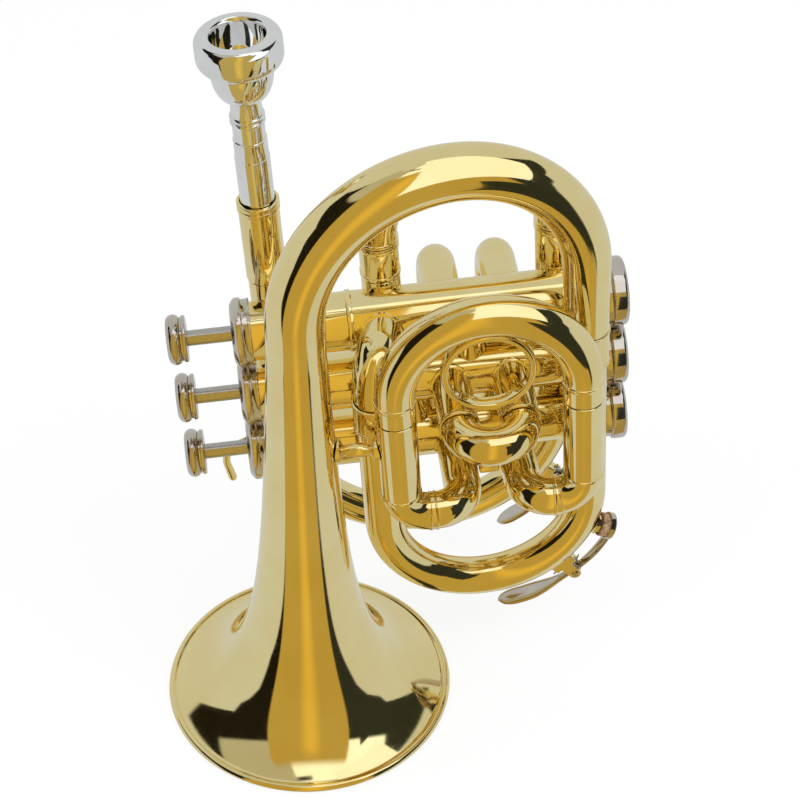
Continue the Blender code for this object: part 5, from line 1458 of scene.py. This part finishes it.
# soft panels close over the horn, which only the polished metal sees; middles are in mm from
# the middle of the bell's mouth, tilts in degrees from lying flat
panels = {
    "overhead": {"middle": (114, -45, 262.5), "size": (152, 141.51), "tilt": 32.005,
                 "color": (1.15, 1.17, 1.20)},
    "flag": {"middle": (164.5, -118, 123.5), "size": (101, 123), "tilt": 90,
             "color": (0.030, 0.034, 0.026)},
}


def makePanels():
    for name, panel in panels.items():
        bm = bmesh.new()
        place = Matrix.Translation(mouthCentre) @ Matrix.Scale(0.001, 4)
        place = place @ Matrix.Translation(panel["middle"])
        place = place @ Matrix.Rotation(math.radians(panel["tilt"]), 4, "X")
        place = place @ Matrix.Diagonal((*panel["size"], 1.0, 1.0))
        bmesh.ops.create_grid(bm, x_segments=1, y_segments=1, size=0.5, matrix=place)
        made = asObject(f"panel_{name}", bm)
        material = bpy.data.materials.new(f"panel_{name}")
        material.use_nodes = True
        tree = material.node_tree
        glow = tree.nodes.new("ShaderNodeEmission")
        glow.inputs["Color"].default_value = (*panel["color"], 1.0)
        tree.links.new(glow.outputs["Emission"], tree.nodes["Material Output"].inputs["Surface"])
        made.data.materials.append(material)
        for ray in ("camera", "diffuse", "transmission", "volume_scatter", "shadow"):
            setattr(made, f"visible_{ray}", False)


lamps = {
    "softbox_right": {"spot": (0.55, -0.35, 0.85), "size": 0.55, "power": 4.0},
    "softbox_left": {"spot": (-0.60, -0.30, 0.75), "size": 0.50, "power": 2.5},
}
lampAim = Vector((0.0, 0.0, 0.10))


def makeLamps():
    for name, settings in lamps.items():
        light = bpy.data.lights.new(name, "AREA")
        light.shape = "SQUARE"
        light.size = settings["size"]
        light.energy = settings["power"]
        lamp = bpy.data.objects.new(name, light)
        lamp.location = settings["spot"]
        aim = lampAim - Vector(settings["spot"])
        lamp.rotation_euler = aim.to_track_quat("-Z", "Y").to_euler()
        lamp.visible_glossy = False
        bpy.context.collection.objects.link(lamp)


view = {
    "azimuth": -6.14, "elevation": 41.69, "lens": 96.696, "sensor": 36.0,
    "fromMouth": (-0.02150, -0.49229, 0.56877),
}


def makeCamera():
    data = bpy.data.cameras.new("camera")
    data.lens = view["lens"]
    data.sensor_width = view["sensor"]
    data.clip_start = 0.01
    camera = bpy.data.objects.new("camera", data)
    azimuth, elevation = math.radians(view["azimuth"]), math.radians(view["elevation"])
    back = Vector((math.sin(azimuth) * math.cos(elevation),
                   -math.cos(azimuth) * math.cos(elevation), math.sin(elevation)))
    right = Vector((math.cos(azimuth), math.sin(azimuth), 0.0))
    turn = Matrix((right, back.cross(right), back)).transposed().to_4x4()
    camera.matrix_world = Matrix.Translation(mouthCentre + Vector(view["fromMouth"])) @ turn
    bpy.context.collection.objects.link(camera)
    bpy.context.scene.camera = camera


makeFloor()
makeStudio()
makePanels()
makeLamps()
makeCamera()
bpy.context.scene.view_settings.view_transform = "Standard"
print("studio done")
